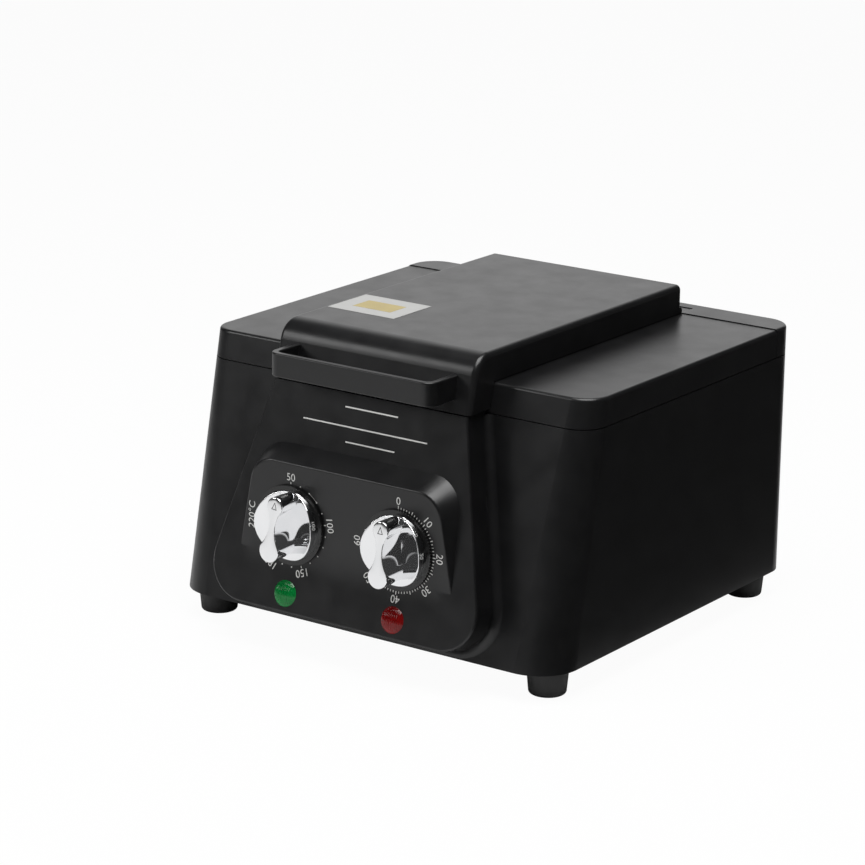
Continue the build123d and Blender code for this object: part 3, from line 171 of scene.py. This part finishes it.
# Finishes of the casing and of what it holds
casing = surface("casing_black", (0.0055, 0.0055, 0.006), (0.0085, 0.0085, 0.009), (0.30, 0.36), grain=0.12)
gloss_black = surface("skirt_black", grey(0.008), grey(0.012), (0.18, 0.24))
rubber = surface("rubber_black", grey(0.018), grey(0.028), (0.55, 0.7), grain=0.3)
gasket_rubber = surface("gasket_red", (0.30, 0.05, 0.035), (0.36, 0.07, 0.05), (0.5, 0.6), grain=0.2)
chrome = surface("chrome", (0.86, 0.87, 0.88), (0.90, 0.90, 0.91), (0.035, 0.07), metallic=1.0)
steel = surface(
    "steel", (0.55, 0.55, 0.54), (0.66, 0.66, 0.65), (0.22, 0.34), metallic=1.0, grain=0.1, stretch=(1, 12, 1)
)
screw_steel = surface("screw_steel", grey(0.45), grey(0.6), (0.25, 0.4), metallic=1.0)
dull_sheet = surface("base_sheet", grey(0.016), grey(0.024), (0.4, 0.5), grain=0.2)
aluminium = surface("aluminium", (0.7, 0.7, 0.72), (0.8, 0.8, 0.82), (0.3, 0.45), metallic=1.0, grain=0.1)
wool = surface(
    "mineral_wool", (0.62, 0.56, 0.42), (0.80, 0.76, 0.64), (0.9, 1.0), grain=0.8, grain_scale=WOOL_SCALE
)
control_grey = surface("control_body", grey(0.05), grey(0.08), (0.4, 0.5), grain=0.1)
copper = surface("copper", (0.72, 0.36, 0.22), (0.80, 0.42, 0.28), (0.2, 0.3), metallic=1.0)
brass = surface("brass", (0.70, 0.52, 0.22), (0.78, 0.6, 0.3), (0.2, 0.3), metallic=1.0)
heat_tint = surface("heater_sheath", (0.20, 0.17, 0.14), (0.34, 0.30, 0.26), (0.35, 0.5), metallic=1.0)
hinge_black = surface("hinge_black", grey(0.05), grey(0.08), (0.3, 0.4), metallic=0.8)
ceramic = surface("terminal_white", (0.70, 0.69, 0.64), (0.78, 0.77, 0.72), (0.25, 0.35))

# Finishes of the lamps, the print and the label
green_lens = surface(
    "green_lens", (0.0, 0.17, 0.03), (0.004, 0.26, 0.05), (0.10, 0.16), Specular_IOR_Level=0.35
)
red_lens = surface(
    "red_lens", (0.16, 0.002, 0.002), (0.26, 0.005, 0.005), (0.10, 0.16), Specular_IOR_Level=0.35
)
print_white = surface("dial_print", (0.72, 0.72, 0.70), (0.80, 0.80, 0.78), (0.5, 0.6))
mark_grey = surface("pointer_mark", grey(0.06), grey(0.10), (0.4, 0.5))
label_white = surface("label_white", (0.42, 0.42, 0.41), (0.47, 0.47, 0.46), (0.4, 0.5), grain=0.1)
label_ochre = surface("label_ochre", (0.38, 0.30, 0.11), (0.46, 0.37, 0.15), (0.4, 0.5))

FINISHES = {
    "casing": casing,
    "screw": screw_steel,
    "base_sheet": dull_sheet,
    "foot": rubber,
    "tank": steel,
    "tray": steel,
    "wool": wool,
    "shield": aluminium,
    "heater_sheath": heat_tint,
    "control_body": control_grey,
    "copper": copper,
    "knob_cap": chrome,
    "knob_skirt": gloss_black,
    "shaft": screw_steel,
    "green_lens": green_lens,
    "red_lens": red_lens,
    "gland": rubber,
    "terminal": ceramic,
    "brass": brass,
    "gasket": gasket_rubber,
    "hinge": hinge_black,
}
for entry in frame["record"]["subparts"]:
    piece = nodes[entry["node"]]
    piece.data.materials.clear()
    piece.data.materials.append(FINISHES[entry["material_slot"]])


def mesh_piece(name, vertices, faces, mat, body):
    """A mesh given in millimetres in the shared frame, riding on a body."""
    mesh = bpy.data.meshes.new(name)
    mesh.from_pydata([Vector(v) * MM for v in vertices], [], faces)
    mesh.update()
    obj = bpy.data.objects.new(name, mesh)
    scene.collection.objects.link(obj)
    obj.data.materials.append(mat)
    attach(obj, body)
    return obj


def smooth(obj):
    """Smooth shading over a whole mesh."""
    obj.data.polygons.foreach_set("use_smooth", [True] * len(obj.data.polygons))


def bars(name, frames, mat, body):
    """Thin raised bars: each is (place, right, up, out, half width, half height, thickness)."""
    vertices = []
    faces = []
    for place, right, up, out, half_width, half_height, thickness in frames:
        a = len(vertices)
        for lift in (0.0, thickness):
            for sx, sy in ((-1, -1), (1, -1), (1, 1), (-1, 1)):
                vertices.append(place + right * (sx * half_width) + up * (sy * half_height) + out * lift)
        faces += [(a + 3, a + 2, a + 1, a), (a + 4, a + 5, a + 6, a + 7)]
        for i in range(4):
            j = (i + 1) % 4
            faces.append((a + i, a + j, a + 4 + j, a + 4 + i))
    return mesh_piece(name, vertices, faces, mat, body)


def panel_at(z):
    """Depth of the leaning panel's face at a height."""
    return COVER_FRONT - (COVER_TOP - z) * math.tan(LEAN) - PANEL_PROUD / math.cos(LEAN)


def panel_place(x, z):
    """Point on the leaning panel's face at a height."""
    return Vector((x, panel_at(z), z))


# A wide concave blend over the crease between the boss face and the panel
BLEND_RADIUS = 100.0
BLEND_ROWS = 24
BLEND_COLUMNS = 60
BLEND_LIFT = 0.015
BLEND_FADE = 9.0
BLEND_INSET = 2.0
CREASE_LEVEL = COVER_TOP - (COVER_FRONT - PANEL_PROUD / math.cos(LEAN) - BOSS_FACE) / math.tan(LEAN)
BLEND_HALF = BLEND_RADIUS * math.tan(LEAN / 2)
BLEND_TOP = CREASE_LEVEL + BLEND_HALF
BLEND_LOW = CREASE_LEVEL - BLEND_HALF * math.cos(LEAN)


def creased(z):
    """Depth of the boss face and the panel, with the crease where they meet."""
    return min(BOSS_FACE, panel_at(z))


def blended(z):
    """The same depth with a wide arc laid over the crease."""
    if z >= BLEND_TOP:
        return BOSS_FACE
    if z <= BLEND_LOW:
        return panel_at(z)
    return BOSS_FACE - (BLEND_RADIUS - math.sqrt(BLEND_RADIUS**2 - (BLEND_TOP - z) ** 2))


def boss_blend():
    """The blend as a thin sheet that fades out towards the boss's sides."""
    widening = (BOSS_HALF_BOTTOM - BOSS_HALF_TOP) / (BOSS_TOP - BOSS_BOTTOM)
    vertices = []
    faces = []
    for row in range(BLEND_ROWS + 1):
        z = BLEND_LOW + (BLEND_TOP - BLEND_LOW) * row / BLEND_ROWS
        half = BOSS_HALF_TOP + (BOSS_TOP - z) * widening - BLEND_INSET
        for column in range(BLEND_COLUMNS + 1):
            x = half * (2 * column / BLEND_COLUMNS - 1)
            fade = min(1.0, (half - abs(x)) / BLEND_FADE)
            fade = fade * fade * (3 - 2 * fade)
            vertices.append((x, creased(z) + (blended(z) - creased(z)) * fade - BLEND_LIFT, z))
    for row in range(BLEND_ROWS):
        for column in range(BLEND_COLUMNS):
            a = row * (BLEND_COLUMNS + 1) + column
            b = a + BLEND_COLUMNS + 1
            faces.append((a, a + 1, b + 1, b))
    smooth(mesh_piece("boss_blend", vertices, faces, casing, "base"))


boss_blend()

# Dial print: numbers, dots and fine marks round each knob, in millimetres and degrees
PRINT = 0.06
NUMBER_SIZE = 7.0
NUMBER_SMOOTHNESS = 4
TEMPERATURE_NUMBER_RADIUS = 31.2
TIMER_NUMBER_RADIUS = 31.4
TEMPERATURE_START = 50
TEMPERATURE_END = 220
TEMPERATURE_TURN = 1.6
TEMPERATURE_DOT_STEP = 10
MINUTES = 60
MINUTE_TURN = 4.5
MINUTE_NUMBER_STEP = 10
LONG_MARK_STEP = 5
FINE_DOT_ANGLES = range(33, 48)

# Marks: inner radius, outer radius and half width
TEMPERATURE_MARK = (26.9, 28.3, 0.3)
TEMPERATURE_DOT = (27.1, 27.9, 0.4)
FINE_DOT = (27.4, 27.6, 0.25)
MINUTE_MARK = (26.5, 27.8, 0.29)
LONG_MINUTE_MARK = (26.5, 28.7, 0.29)


def printed(x, z):
    """A place on the front surface, lifted off it by the print's thickness."""
    return Vector((x, blended(z) - PRINT, z))


def dial_axes(degrees):
    """Directions across and along a dial's radius at a clock angle."""
    turn = math.radians(degrees)
    across = Vector((math.cos(turn), 0, -math.sin(turn)))
    along = Vector((math.sin(turn), 0, math.cos(turn)))
    return across, along


def dial_number(name, words, knob_x, degrees, radius):
    """A printed number that follows the front surface, its top away from the knob."""
    curve = bpy.data.curves.new(name, "FONT")
    curve.body = words
    curve.align_x = "CENTER"
    curve.align_y = "CENTER"
    curve.size = NUMBER_SIZE
    curve.resolution_u = NUMBER_SMOOTHNESS
    maker = bpy.data.objects.new(name + "_outline", curve)
    scene.collection.objects.link(maker)
    flat = bpy.data.meshes.new_from_object(maker.evaluated_get(bpy.context.evaluated_depsgraph_get()))
    bpy.data.objects.remove(maker)
    across, along = dial_axes(degrees)
    middle = Vector((knob_x, 0, KNOB_Z)) + along * radius
    vertices = []
    for vertex in flat.vertices:
        place = middle + across * vertex.co.x + along * vertex.co.y
        vertices.append(printed(place.x, place.z))
    faces = [tuple(polygon.vertices) for polygon in flat.polygons]
    mesh_piece(name, vertices, faces, print_white, "base")


def dial_marks(name, knob_x, marks):
    """Printed radial marks round a knob: each is a clock angle and a mark's sizes."""
    vertices = []
    faces = []
    for degrees, (inner, outer, half_width) in marks:
        across, along = dial_axes(degrees)
        first = len(vertices)
        for radius, side in ((inner, -1), (inner, 1), (outer, 1), (outer, -1)):
            place = Vector((knob_x, 0, KNOB_Z)) + along * radius + across * (side * half_width)
            vertices.append(printed(place.x, place.z))
        faces.append((first, first + 1, first + 2, first + 3))
    mesh_piece(name, vertices, faces, print_white, "base")


def temperature_angle(value):
    """Clock angle of a temperature on its dial."""
    return TEMPERATURE_TURN * (value - TEMPERATURE_START)


temperatures = {50: "50", 100: "100", 150: "150", 180: "180", 220: "220°C"}
for value, words in temperatures.items():
    dial_number(
        f"temperature_{value}", words, -KNOB_X, temperature_angle(value), TEMPERATURE_NUMBER_RADIUS
    )
for value in range(0, MINUTES + 1, MINUTE_NUMBER_STEP):
    dial_number(f"timer_{value}", str(value), KNOB_X, MINUTE_TURN * value, TIMER_NUMBER_RADIUS)

temperature_marks = []
for value in range(TEMPERATURE_START, TEMPERATURE_END + 1, TEMPERATURE_DOT_STEP):
    mark = TEMPERATURE_MARK if value in temperatures else TEMPERATURE_DOT
    temperature_marks.append((temperature_angle(value), mark))
temperature_marks += [(degrees, FINE_DOT) for degrees in FINE_DOT_ANGLES]
dial_marks("temperature_marks", -KNOB_X, temperature_marks)

timer_marks = []
for minute in range(MINUTES + 1):
    mark = MINUTE_MARK if minute % LONG_MARK_STEP else LONG_MINUTE_MARK
    timer_marks.append((MINUTE_TURN * minute, mark))
dial_marks("timer_marks", KNOB_X, timer_marks)

# Plain rules on the upper panel: left end, right end and height
RULES = ((-17, 24, 162), (-48, 48.5, 150), (-13, 25, 140.7))
RULE_HALF_HEIGHT = 0.45
rules = [
    (
        panel_place((left + right) / 2, z),
        RIGHT,
        PANEL_UP,
        PANEL_OUT,
        (right - left) / 2,
        RULE_HALF_HEIGHT,
        PRINT,
    )
    for left, right, z in RULES
]
bars("panel_rules", rules, print_white, "base")

# Lamp lenses: domes with fine ribs, in the place of the plain ones
LENS_RADIUS = 8.6
LENS_HEIGHT = 4.2
LENS_RINGS = 30
LENS_SEGMENTS = 120
RIB_PITCH = 1.25
RIB_HEIGHT = 0.2
RIB_FADE = 1.5


def ribbed_lens(node, mat):
    """A dome on the panel with upright ribs that fade out at its rim."""
    low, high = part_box(node)
    centre_x = (low[0] + high[0]) / 2 / MM
    centre_z = (low[2] + high[2]) / 2 / MM
    sphere = (LENS_RADIUS**2 + LENS_HEIGHT**2) / (2 * LENS_HEIGHT)
    lift = math.sin(LEAN) * LENS_HEIGHT / 2
    base = panel_place(centre_x, centre_z - lift)
    vertices = [base + PANEL_OUT * LENS_HEIGHT]
    for ring in range(1, LENS_RINGS + 1):
        radius = LENS_RADIUS * ring / LENS_RINGS
        dome = math.sqrt(sphere**2 - radius**2) - (sphere - LENS_HEIGHT)
        fade = min(1.0, (LENS_RADIUS - radius) / RIB_FADE)
        for segment in range(LENS_SEGMENTS):
            turn = 2 * math.pi * segment / LENS_SEGMENTS
            x, y = radius * math.cos(turn), radius * math.sin(turn)
            rib = RIB_HEIGHT * fade * math.cos(2 * math.pi * x / RIB_PITCH)
            vertices.append(base + RIGHT * x + PANEL_UP * y + PANEL_OUT * (dome + rib))
    faces = [(0, 1 + s, 1 + (s + 1) % LENS_SEGMENTS) for s in range(LENS_SEGMENTS)]
    for ring in range(LENS_RINGS - 1):
        inner = 1 + ring * LENS_SEGMENTS
        outer = inner + LENS_SEGMENTS
        for segment in range(LENS_SEGMENTS):
            following = (segment + 1) % LENS_SEGMENTS
            faces.append((inner + segment, outer + segment, outer + following, inner + following))
    lens = mesh_piece(node + "_ribbed", vertices, faces, mat, "base")
    smooth(lens)
    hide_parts(node)


ribbed_lens("power_lamp_lens", green_lens)
ribbed_lens("heat_lamp_lens", red_lens)

# Knob caps in the place of the plain ones: a scooped disc with an eased rim
CAP_SEAT = 2.4
CAP_SEAT_RADIUS = 23.4
CAP_TOP_RADIUS = 22.8
CAP_RIM_HEIGHT = 9.5
CAP_VALLEY_HEIGHT = 3.4
CAP_EDGE = 0.45

# The grip on the cap: a pad and a tail joined by a waist, pinched at its top
GRIP_WRAP = math.radians(38.0)
GRIP_SLOPE = math.tan(math.radians(5.6))
GRIP_EDGE = 0.8
PAD_CENTRE = 16.9
PAD_RADIUS = 5.9
TAIL_CENTRE = 12.3
TAIL_RADIUS = 7.5
TAIL_FOOT_RADIUS = 6.9
WAIST_CENTRE = 4.0
WAIST_HALF = 2.3
WAIST_FOOT_HALF = 5.1
SPINE_WIDTH = 0.02
SPINE_LENGTH = 0.9
FLANK_CURVE = 1.6
ARC_STEPS = 24
EDGE_STEPS = 4
FLANK_STEPS = 8
SCOOP_STEPS = 14

# The outlined pointer on the pad, and how far the temperature knob is turned
POINTER_OUTER = ((0.0, 3.0), (-2.1, -2.0), (2.1, -2.0))
POINTER_INNER = ((0.0, 1.9), (-1.35, -1.5), (1.35, -1.5))
POINTER_LIFT = 0.03
TEMPERATURE_KNOB_TURN = 5.0


def arc_through(first, middle, last):
    """Places along the circle through three places, the last one left out."""
    (ax, ay), (bx, by), (cx, cy) = first, middle, last
    scale = 2 * (ax * (by - cy) + bx * (cy - ay) + cx * (ay - by))
    aa, bb, cc = (x * x + y * y for x, y in (first, middle, last))
    centre_x = (aa * (by - cy) + bb * (cy - ay) + cc * (ay - by)) / scale
    centre_y = (aa * (cx - bx) + bb * (ax - cx) + cc * (bx - ax)) / scale
    radius = math.hypot(ax - centre_x, ay - centre_y)
    start, via, end = (math.atan2(y - centre_y, x - centre_x) for x, y in (first, middle, last))
    sweep = (end - start) % (2 * math.pi)
    if (via - start) % (2 * math.pi) > sweep:
        sweep -= 2 * math.pi
    turns = [start + sweep * step / ARC_STEPS for step in range(ARC_STEPS)]
    return [(centre_x + radius * math.cos(turn), centre_y + radius * math.sin(turn)) for turn in turns]


def grip_outline(pad, tail, waist):
    """Front view of the grip: a pad and a tail joined by a waist."""
    pad_x, pad_y = pad * math.cos(GRIP_WRAP), PAD_CENTRE - pad * math.sin(GRIP_WRAP)
    tail_x, tail_y = tail * math.cos(GRIP_WRAP), tail * math.sin(GRIP_WRAP) - TAIL_CENTRE
    return (
        arc_through((pad_x, pad_y), (0, PAD_CENTRE + pad), (-pad_x, pad_y))
        + arc_through((-pad_x, pad_y), (-waist, WAIST_CENTRE), (-tail_x, tail_y))
        + arc_through((-tail_x, tail_y), (0, -TAIL_CENTRE - tail), (tail_x, tail_y))
        + arc_through((tail_x, tail_y), (waist, WAIST_CENTRE), (pad_x, pad_y))
    )


def scoop(x):
    """Height of the cap's scooped disc above the boss face."""
    return CAP_VALLEY_HEIGHT + (CAP_RIM_HEIGHT - CAP_VALLEY_HEIGHT) * (x / CAP_TOP_RADIUS) ** 2


def grip_height(y):
    """Height of the grip's sloping top above the boss face."""
    return KNOB_HEIGHT - GRIP_SLOPE * (y + TAIL_CENTRE + TAIL_RADIUS)


def eased(edge, step):
    """How far in and how far down a step round an eased edge lies."""
    lean = math.pi / 2 * step / EDGE_STEPS
    return edge * (1 - math.sin(lean)), edge * (1 - math.cos(lean))


def circle(radius, turns):
    """Places on a circle round the knob's axis."""
    return [(radius * math.cos(turn), radius * math.sin(turn)) for turn in turns]


def between(first, second, share):
    """Places part of the way from one outline to another."""
    return [
        (ax + (bx - ax) * share, ay + (by - ay) * share) for (ax, ay), (bx, by) in zip(first, second)
    ]


def grip_rings():
    """Rings from the grip's spine over its eased edge and down its flanks to its foot."""
    inner = grip_outline(PAD_RADIUS - GRIP_EDGE, TAIL_RADIUS - GRIP_EDGE, WAIST_HALF - GRIP_EDGE / 2)
    spine = [(x * SPINE_WIDTH, y * SPINE_LENGTH) for x, y in inner]
    rings = [[(x, y, grip_height(y)) for x, y in spine]]
    for step in range(EDGE_STEPS + 1):
        shrink, drop = eased(GRIP_EDGE, step)
        outline = grip_outline(PAD_RADIUS - shrink, TAIL_RADIUS - shrink, WAIST_HALF - shrink / 2)
        rings.append([(x, y, grip_height(y) - drop) for x, y in outline])
    heights = [height for x, y, height in rings[-1]]
    foot = grip_outline(PAD_RADIUS, TAIL_FOOT_RADIUS, WAIST_FOOT_HALF)
    for step in range(1, FLANK_STEPS + 1):
        share = step / FLANK_STEPS
        lowered = between(outline, foot, share**FLANK_CURVE)
        ring = []
        for (x, y), (foot_x, foot_y), height in zip(lowered, foot, heights):
            ring.append((x, y, height + (scoop(foot_x) - height) * share))
        rings.append(ring)
    return rings, foot


def disc_rings(foot):
    """Rings from the grip's foot over the scooped disc and its rim down to the seat."""
    turns = [math.atan2(y, x) for x, y in foot]
    rim = circle(CAP_TOP_RADIUS - CAP_EDGE, turns)
    rings = []
    for step in range(1, SCOOP_STEPS + 1):
        rings.append([(x, y, scoop(x)) for x, y in between(foot, rim, step / SCOOP_STEPS)])
    for step in range(1, EDGE_STEPS + 1):
        shrink, drop = eased(CAP_EDGE, step)
        edge = circle(CAP_TOP_RADIUS - shrink, turns)
        rings.append([(x, y, scoop(rim_x) - drop) for (x, y), (rim_x, rim_y) in zip(edge, rim)])
    rings.append([(x, y, CAP_SEAT) for x, y in circle(CAP_SEAT_RADIUS, turns)])
    return rings


def on_knob(knob_x, degrees, places):
    """Places on a knob, from across, along and height to the shared frame."""
    across, along = dial_axes(degrees)
    axis = Vector((knob_x, BOSS_FACE, KNOB_Z))
    return [axis + across * x + along * y - BACK * height for x, y, height in places]


def knob_cap(node, body, knob_x, degrees):
    """A cap with a waisted grip whose flanks widen towards the scooped disc."""
    rings, foot = grip_rings()
    count = len(foot)
    foot_ring = (len(rings) - 1) * count
    rings += disc_rings(foot)
    places = [place for ring in rings for place in ring]
    faces = [tuple(range(count)), tuple(reversed(range(len(places) - count, len(places))))]
    for ring in range(len(rings) - 1):
        a, b = ring * count, (ring + 1) * count
        for i in range(count):
            j = (i + 1) % count
            faces.append((a + i, b + i, b + j, a + j))
    cap = mesh_piece(node + "_shaped", on_knob(knob_x, degrees, places), faces, chrome, body)
    for polygon in cap.data.polygons:
        polygon.use_smooth = polygon.index > 1
    for edge in cap.data.edges:
        edge.use_edge_sharp = all(foot_ring <= end < foot_ring + count for end in edge.vertices)
    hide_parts(node)


def pointer(node, body, knob_x, degrees):
    """A triangular outline on the pad of a knob's grip."""
    places = []
    for x, y in POINTER_OUTER + POINTER_INNER:
        places.append((x, PAD_CENTRE + y, grip_height(PAD_CENTRE + y) + POINTER_LIFT))
    faces = [(i, (i + 1) % 3, 3 + (i + 1) % 3, 3 + i) for i in range(3)]
    mesh_piece(node + "_mark", on_knob(knob_x, degrees, places), faces, mark_grey, body)


for knob in (
    ("temperature_knob", "temperature_dial", -KNOB_X, TEMPERATURE_KNOB_TURN),
    ("timer_knob", "timer_dial", KNOB_X, 0.0),
):
    knob_cap(*knob)
    pointer(*knob)

# Blank label on the lid, with a plain ochre bar
LABEL_PLACE = Vector((-46.2, -41.5, LID_TOP))
LABEL_HALF = (26.4, 20.9)
LABEL_THICKNESS = 0.12
BAR_HALF = (15.0, 9.0)
BAR_THICKNESS = 0.05
label = (LABEL_PLACE, RIGHT, BACK, UP, *LABEL_HALF, LABEL_THICKNESS)
bars("lid_label", [label], label_white, "lid")
bar = (LABEL_PLACE + UP * LABEL_THICKNESS, RIGHT, BACK, UP, *BAR_HALF, BAR_THICKNESS)
bars("lid_label_bar", [bar], label_ochre, "lid")

# The stage and its lamps: places and sizes in metres, power in watts
FLOOR_SIZE = 12.0
FLOOR_LEVEL = -0.0002
FLOOR_TONE = 0.86
FLOOR_ROUGHNESS = 0.9
FLOOR_SHOWN = 0.96
CARD_PLACE = (0.95, 0.35, 0.0004)
CARD_SIZE = (1.56, 2.5, 1.0)
WORLD_DIM = 0.05
WORLD_PALE = 0.98
PALE_DIRECTION = (-0.555, 0.784, 0.278)
PALE_START = 0.80
PALE_FULL = 0.96
AIM = Vector((0, 0, 0.1))
TOP_LAMP = (Vector((0.25, -0.25, 1.6)), (1.1, 1.1), 26.0)
FRONT_LAMP = (Vector((-1.2, -1.3, 1.0)), (0.5, 0.7), 7.0)


def floor_material():
    """Pale matt floor that the camera sees mostly as plain white, with the shadow kept."""
    mat, tree, shader = new_material("floor_white")
    shader.inputs["Base Color"].default_value = (*grey(FLOOR_TONE), 1)
    shader.inputs["Roughness"].default_value = FLOOR_ROUGHNESS
    shader.inputs["Specular IOR Level"].default_value = 0.0
    rays = tree.nodes.new("ShaderNodeLightPath")
    glow = tree.nodes.new("ShaderNodeEmission")
    mix = tree.nodes.new("ShaderNodeMixShader")
    scale = tree.nodes.new("ShaderNodeMath")
    scale.operation = "MULTIPLY"
    scale.inputs[1].default_value = FLOOR_SHOWN
    tree.links.new(rays.outputs["Is Camera Ray"], scale.inputs[0])
    tree.links.new(scale.outputs[0], mix.inputs["Fac"])
    tree.links.new(shader.outputs["BSDF"], mix.inputs[1])
    tree.links.new(glow.outputs["Emission"], mix.inputs[2])
    tree.links.new(mix.outputs["Shader"], tree.nodes["Material Output"].inputs["Surface"])
    return mat


def studio_world():
    """White to the camera; else dim, with one pale side that the object's tops reflect."""
    world = bpy.data.worlds.new("studio")
    scene.world = world
    world.use_nodes = True
    tree = world.node_tree
    room = tree.nodes["Background"]
    room.inputs["Color"].default_value = (1, 1, 1, 1)
    plain = tree.nodes.new("ShaderNodeBackground")
    plain.inputs["Color"].default_value = (1, 1, 1, 1)
    plain.inputs["Strength"].default_value = 1.0
    coords = tree.nodes.new("ShaderNodeTexCoord")
    facing = tree.nodes.new("ShaderNodeVectorMath")
    facing.operation = "DOT_PRODUCT"
    facing.inputs[1].default_value = PALE_DIRECTION
    tree.links.new(coords.outputs["Generated"], facing.inputs[0])
    spread = tree.nodes.new("ShaderNodeMapRange")
    spread.interpolation_type = "SMOOTHSTEP"
    spread.inputs["From Min"].default_value = PALE_START
    spread.inputs["From Max"].default_value = PALE_FULL
    spread.inputs["To Min"].default_value = WORLD_DIM
    spread.inputs["To Max"].default_value = WORLD_PALE
    tree.links.new(facing.outputs["Value"], spread.inputs["Value"])
    tree.links.new(spread.outputs["Result"], room.inputs["Strength"])
    rays = tree.nodes.new("ShaderNodeLightPath")
    mix = tree.nodes.new("ShaderNodeMixShader")
    tree.links.new(rays.outputs["Is Camera Ray"], mix.inputs["Fac"])
    tree.links.new(room.outputs["Background"], mix.inputs[1])
    tree.links.new(plain.outputs["Background"], mix.inputs[2])
    tree.links.new(mix.outputs["Shader"], tree.nodes["World Output"].inputs["Surface"])


def softbox(name, place, size, power):
    """A rectangular lamp aimed at the object, not seen by the camera."""
    light = bpy.data.lights.new(name, "AREA")
    light.shape = "RECTANGLE"
    light.size, light.size_y = size
    light.energy = power
    obj = bpy.data.objects.new(name, light)
    scene.collection.objects.link(obj)
    aim = (AIM - place).to_track_quat("-Z", "Y")
    obj.matrix_world = Matrix.Translation(place) @ aim.to_matrix().to_4x4()
    obj.visible_camera = False


bpy.ops.mesh.primitive_plane_add(size=FLOOR_SIZE, location=(0, 0, FLOOR_LEVEL))
floor = bpy.context.object
floor.name = "floor"
floor.data.materials.append(floor_material())
studio_world()

# A dark card on the floor beside the object, seen only in reflections
bpy.ops.mesh.primitive_plane_add(size=1.0, location=CARD_PLACE)
card = bpy.context.object
card.name = "dark_card"
card.scale = CARD_SIZE
card.data.materials.append(surface("card_dark", grey(0.010), grey(0.016), (0.9, 1.0)))
card.visible_camera = False
card.visible_diffuse = False
card.visible_shadow = False
card.visible_transmission = False
softbox("top", *TOP_LAMP)
softbox("front_left", *FRONT_LAMP)

# The camera, at the photo's angle: millimetres, degrees and pixels
AZIMUTH, ELEVATION, ROLL = (math.radians(angle) for angle in (35.264, 16.136, 0.736))
FOCAL_PIXELS = 3367.376
FRAME_PIXELS = 865.0
SENSOR = 36.0
FAR_CLIP = 50
CAMERA_DISTANCE = 2244.224
CAMERA_SHIFT = -47.109
CAMERA_TARGET = Vector((0, 35.95, 112.398))
outward = Vector(
    (
        math.sin(AZIMUTH) * math.cos(ELEVATION),
        -math.cos(AZIMUTH) * math.cos(ELEVATION),
        math.sin(ELEVATION),
    )
)
sideways = Vector((math.cos(AZIMUTH), math.sin(AZIMUTH), 0))
upward = outward.cross(sideways)
right = math.cos(ROLL) * sideways + math.sin(ROLL) * upward
up = -math.sin(ROLL) * sideways + math.cos(ROLL) * upward
place = (sideways * CAMERA_SHIFT + CAMERA_TARGET + outward * CAMERA_DISTANCE) * MM
camera_data = bpy.data.cameras.new("camera")
camera_data.sensor_width = SENSOR
camera_data.lens = FOCAL_PIXELS / FRAME_PIXELS * SENSOR
camera_data.clip_end = FAR_CLIP
camera = bpy.data.objects.new("camera", camera_data)
scene.collection.objects.link(camera)
camera.matrix_world = Matrix(
    (
        (right.x, up.x, outward.x, place.x),
        (right.y, up.y, outward.y, place.y),
        (right.z, up.z, outward.z, place.z),
        (0, 0, 0, 1),
    )
)
scene.camera = camera
scene.view_settings.view_transform = "Standard"

bpy.context.view_layer.update()
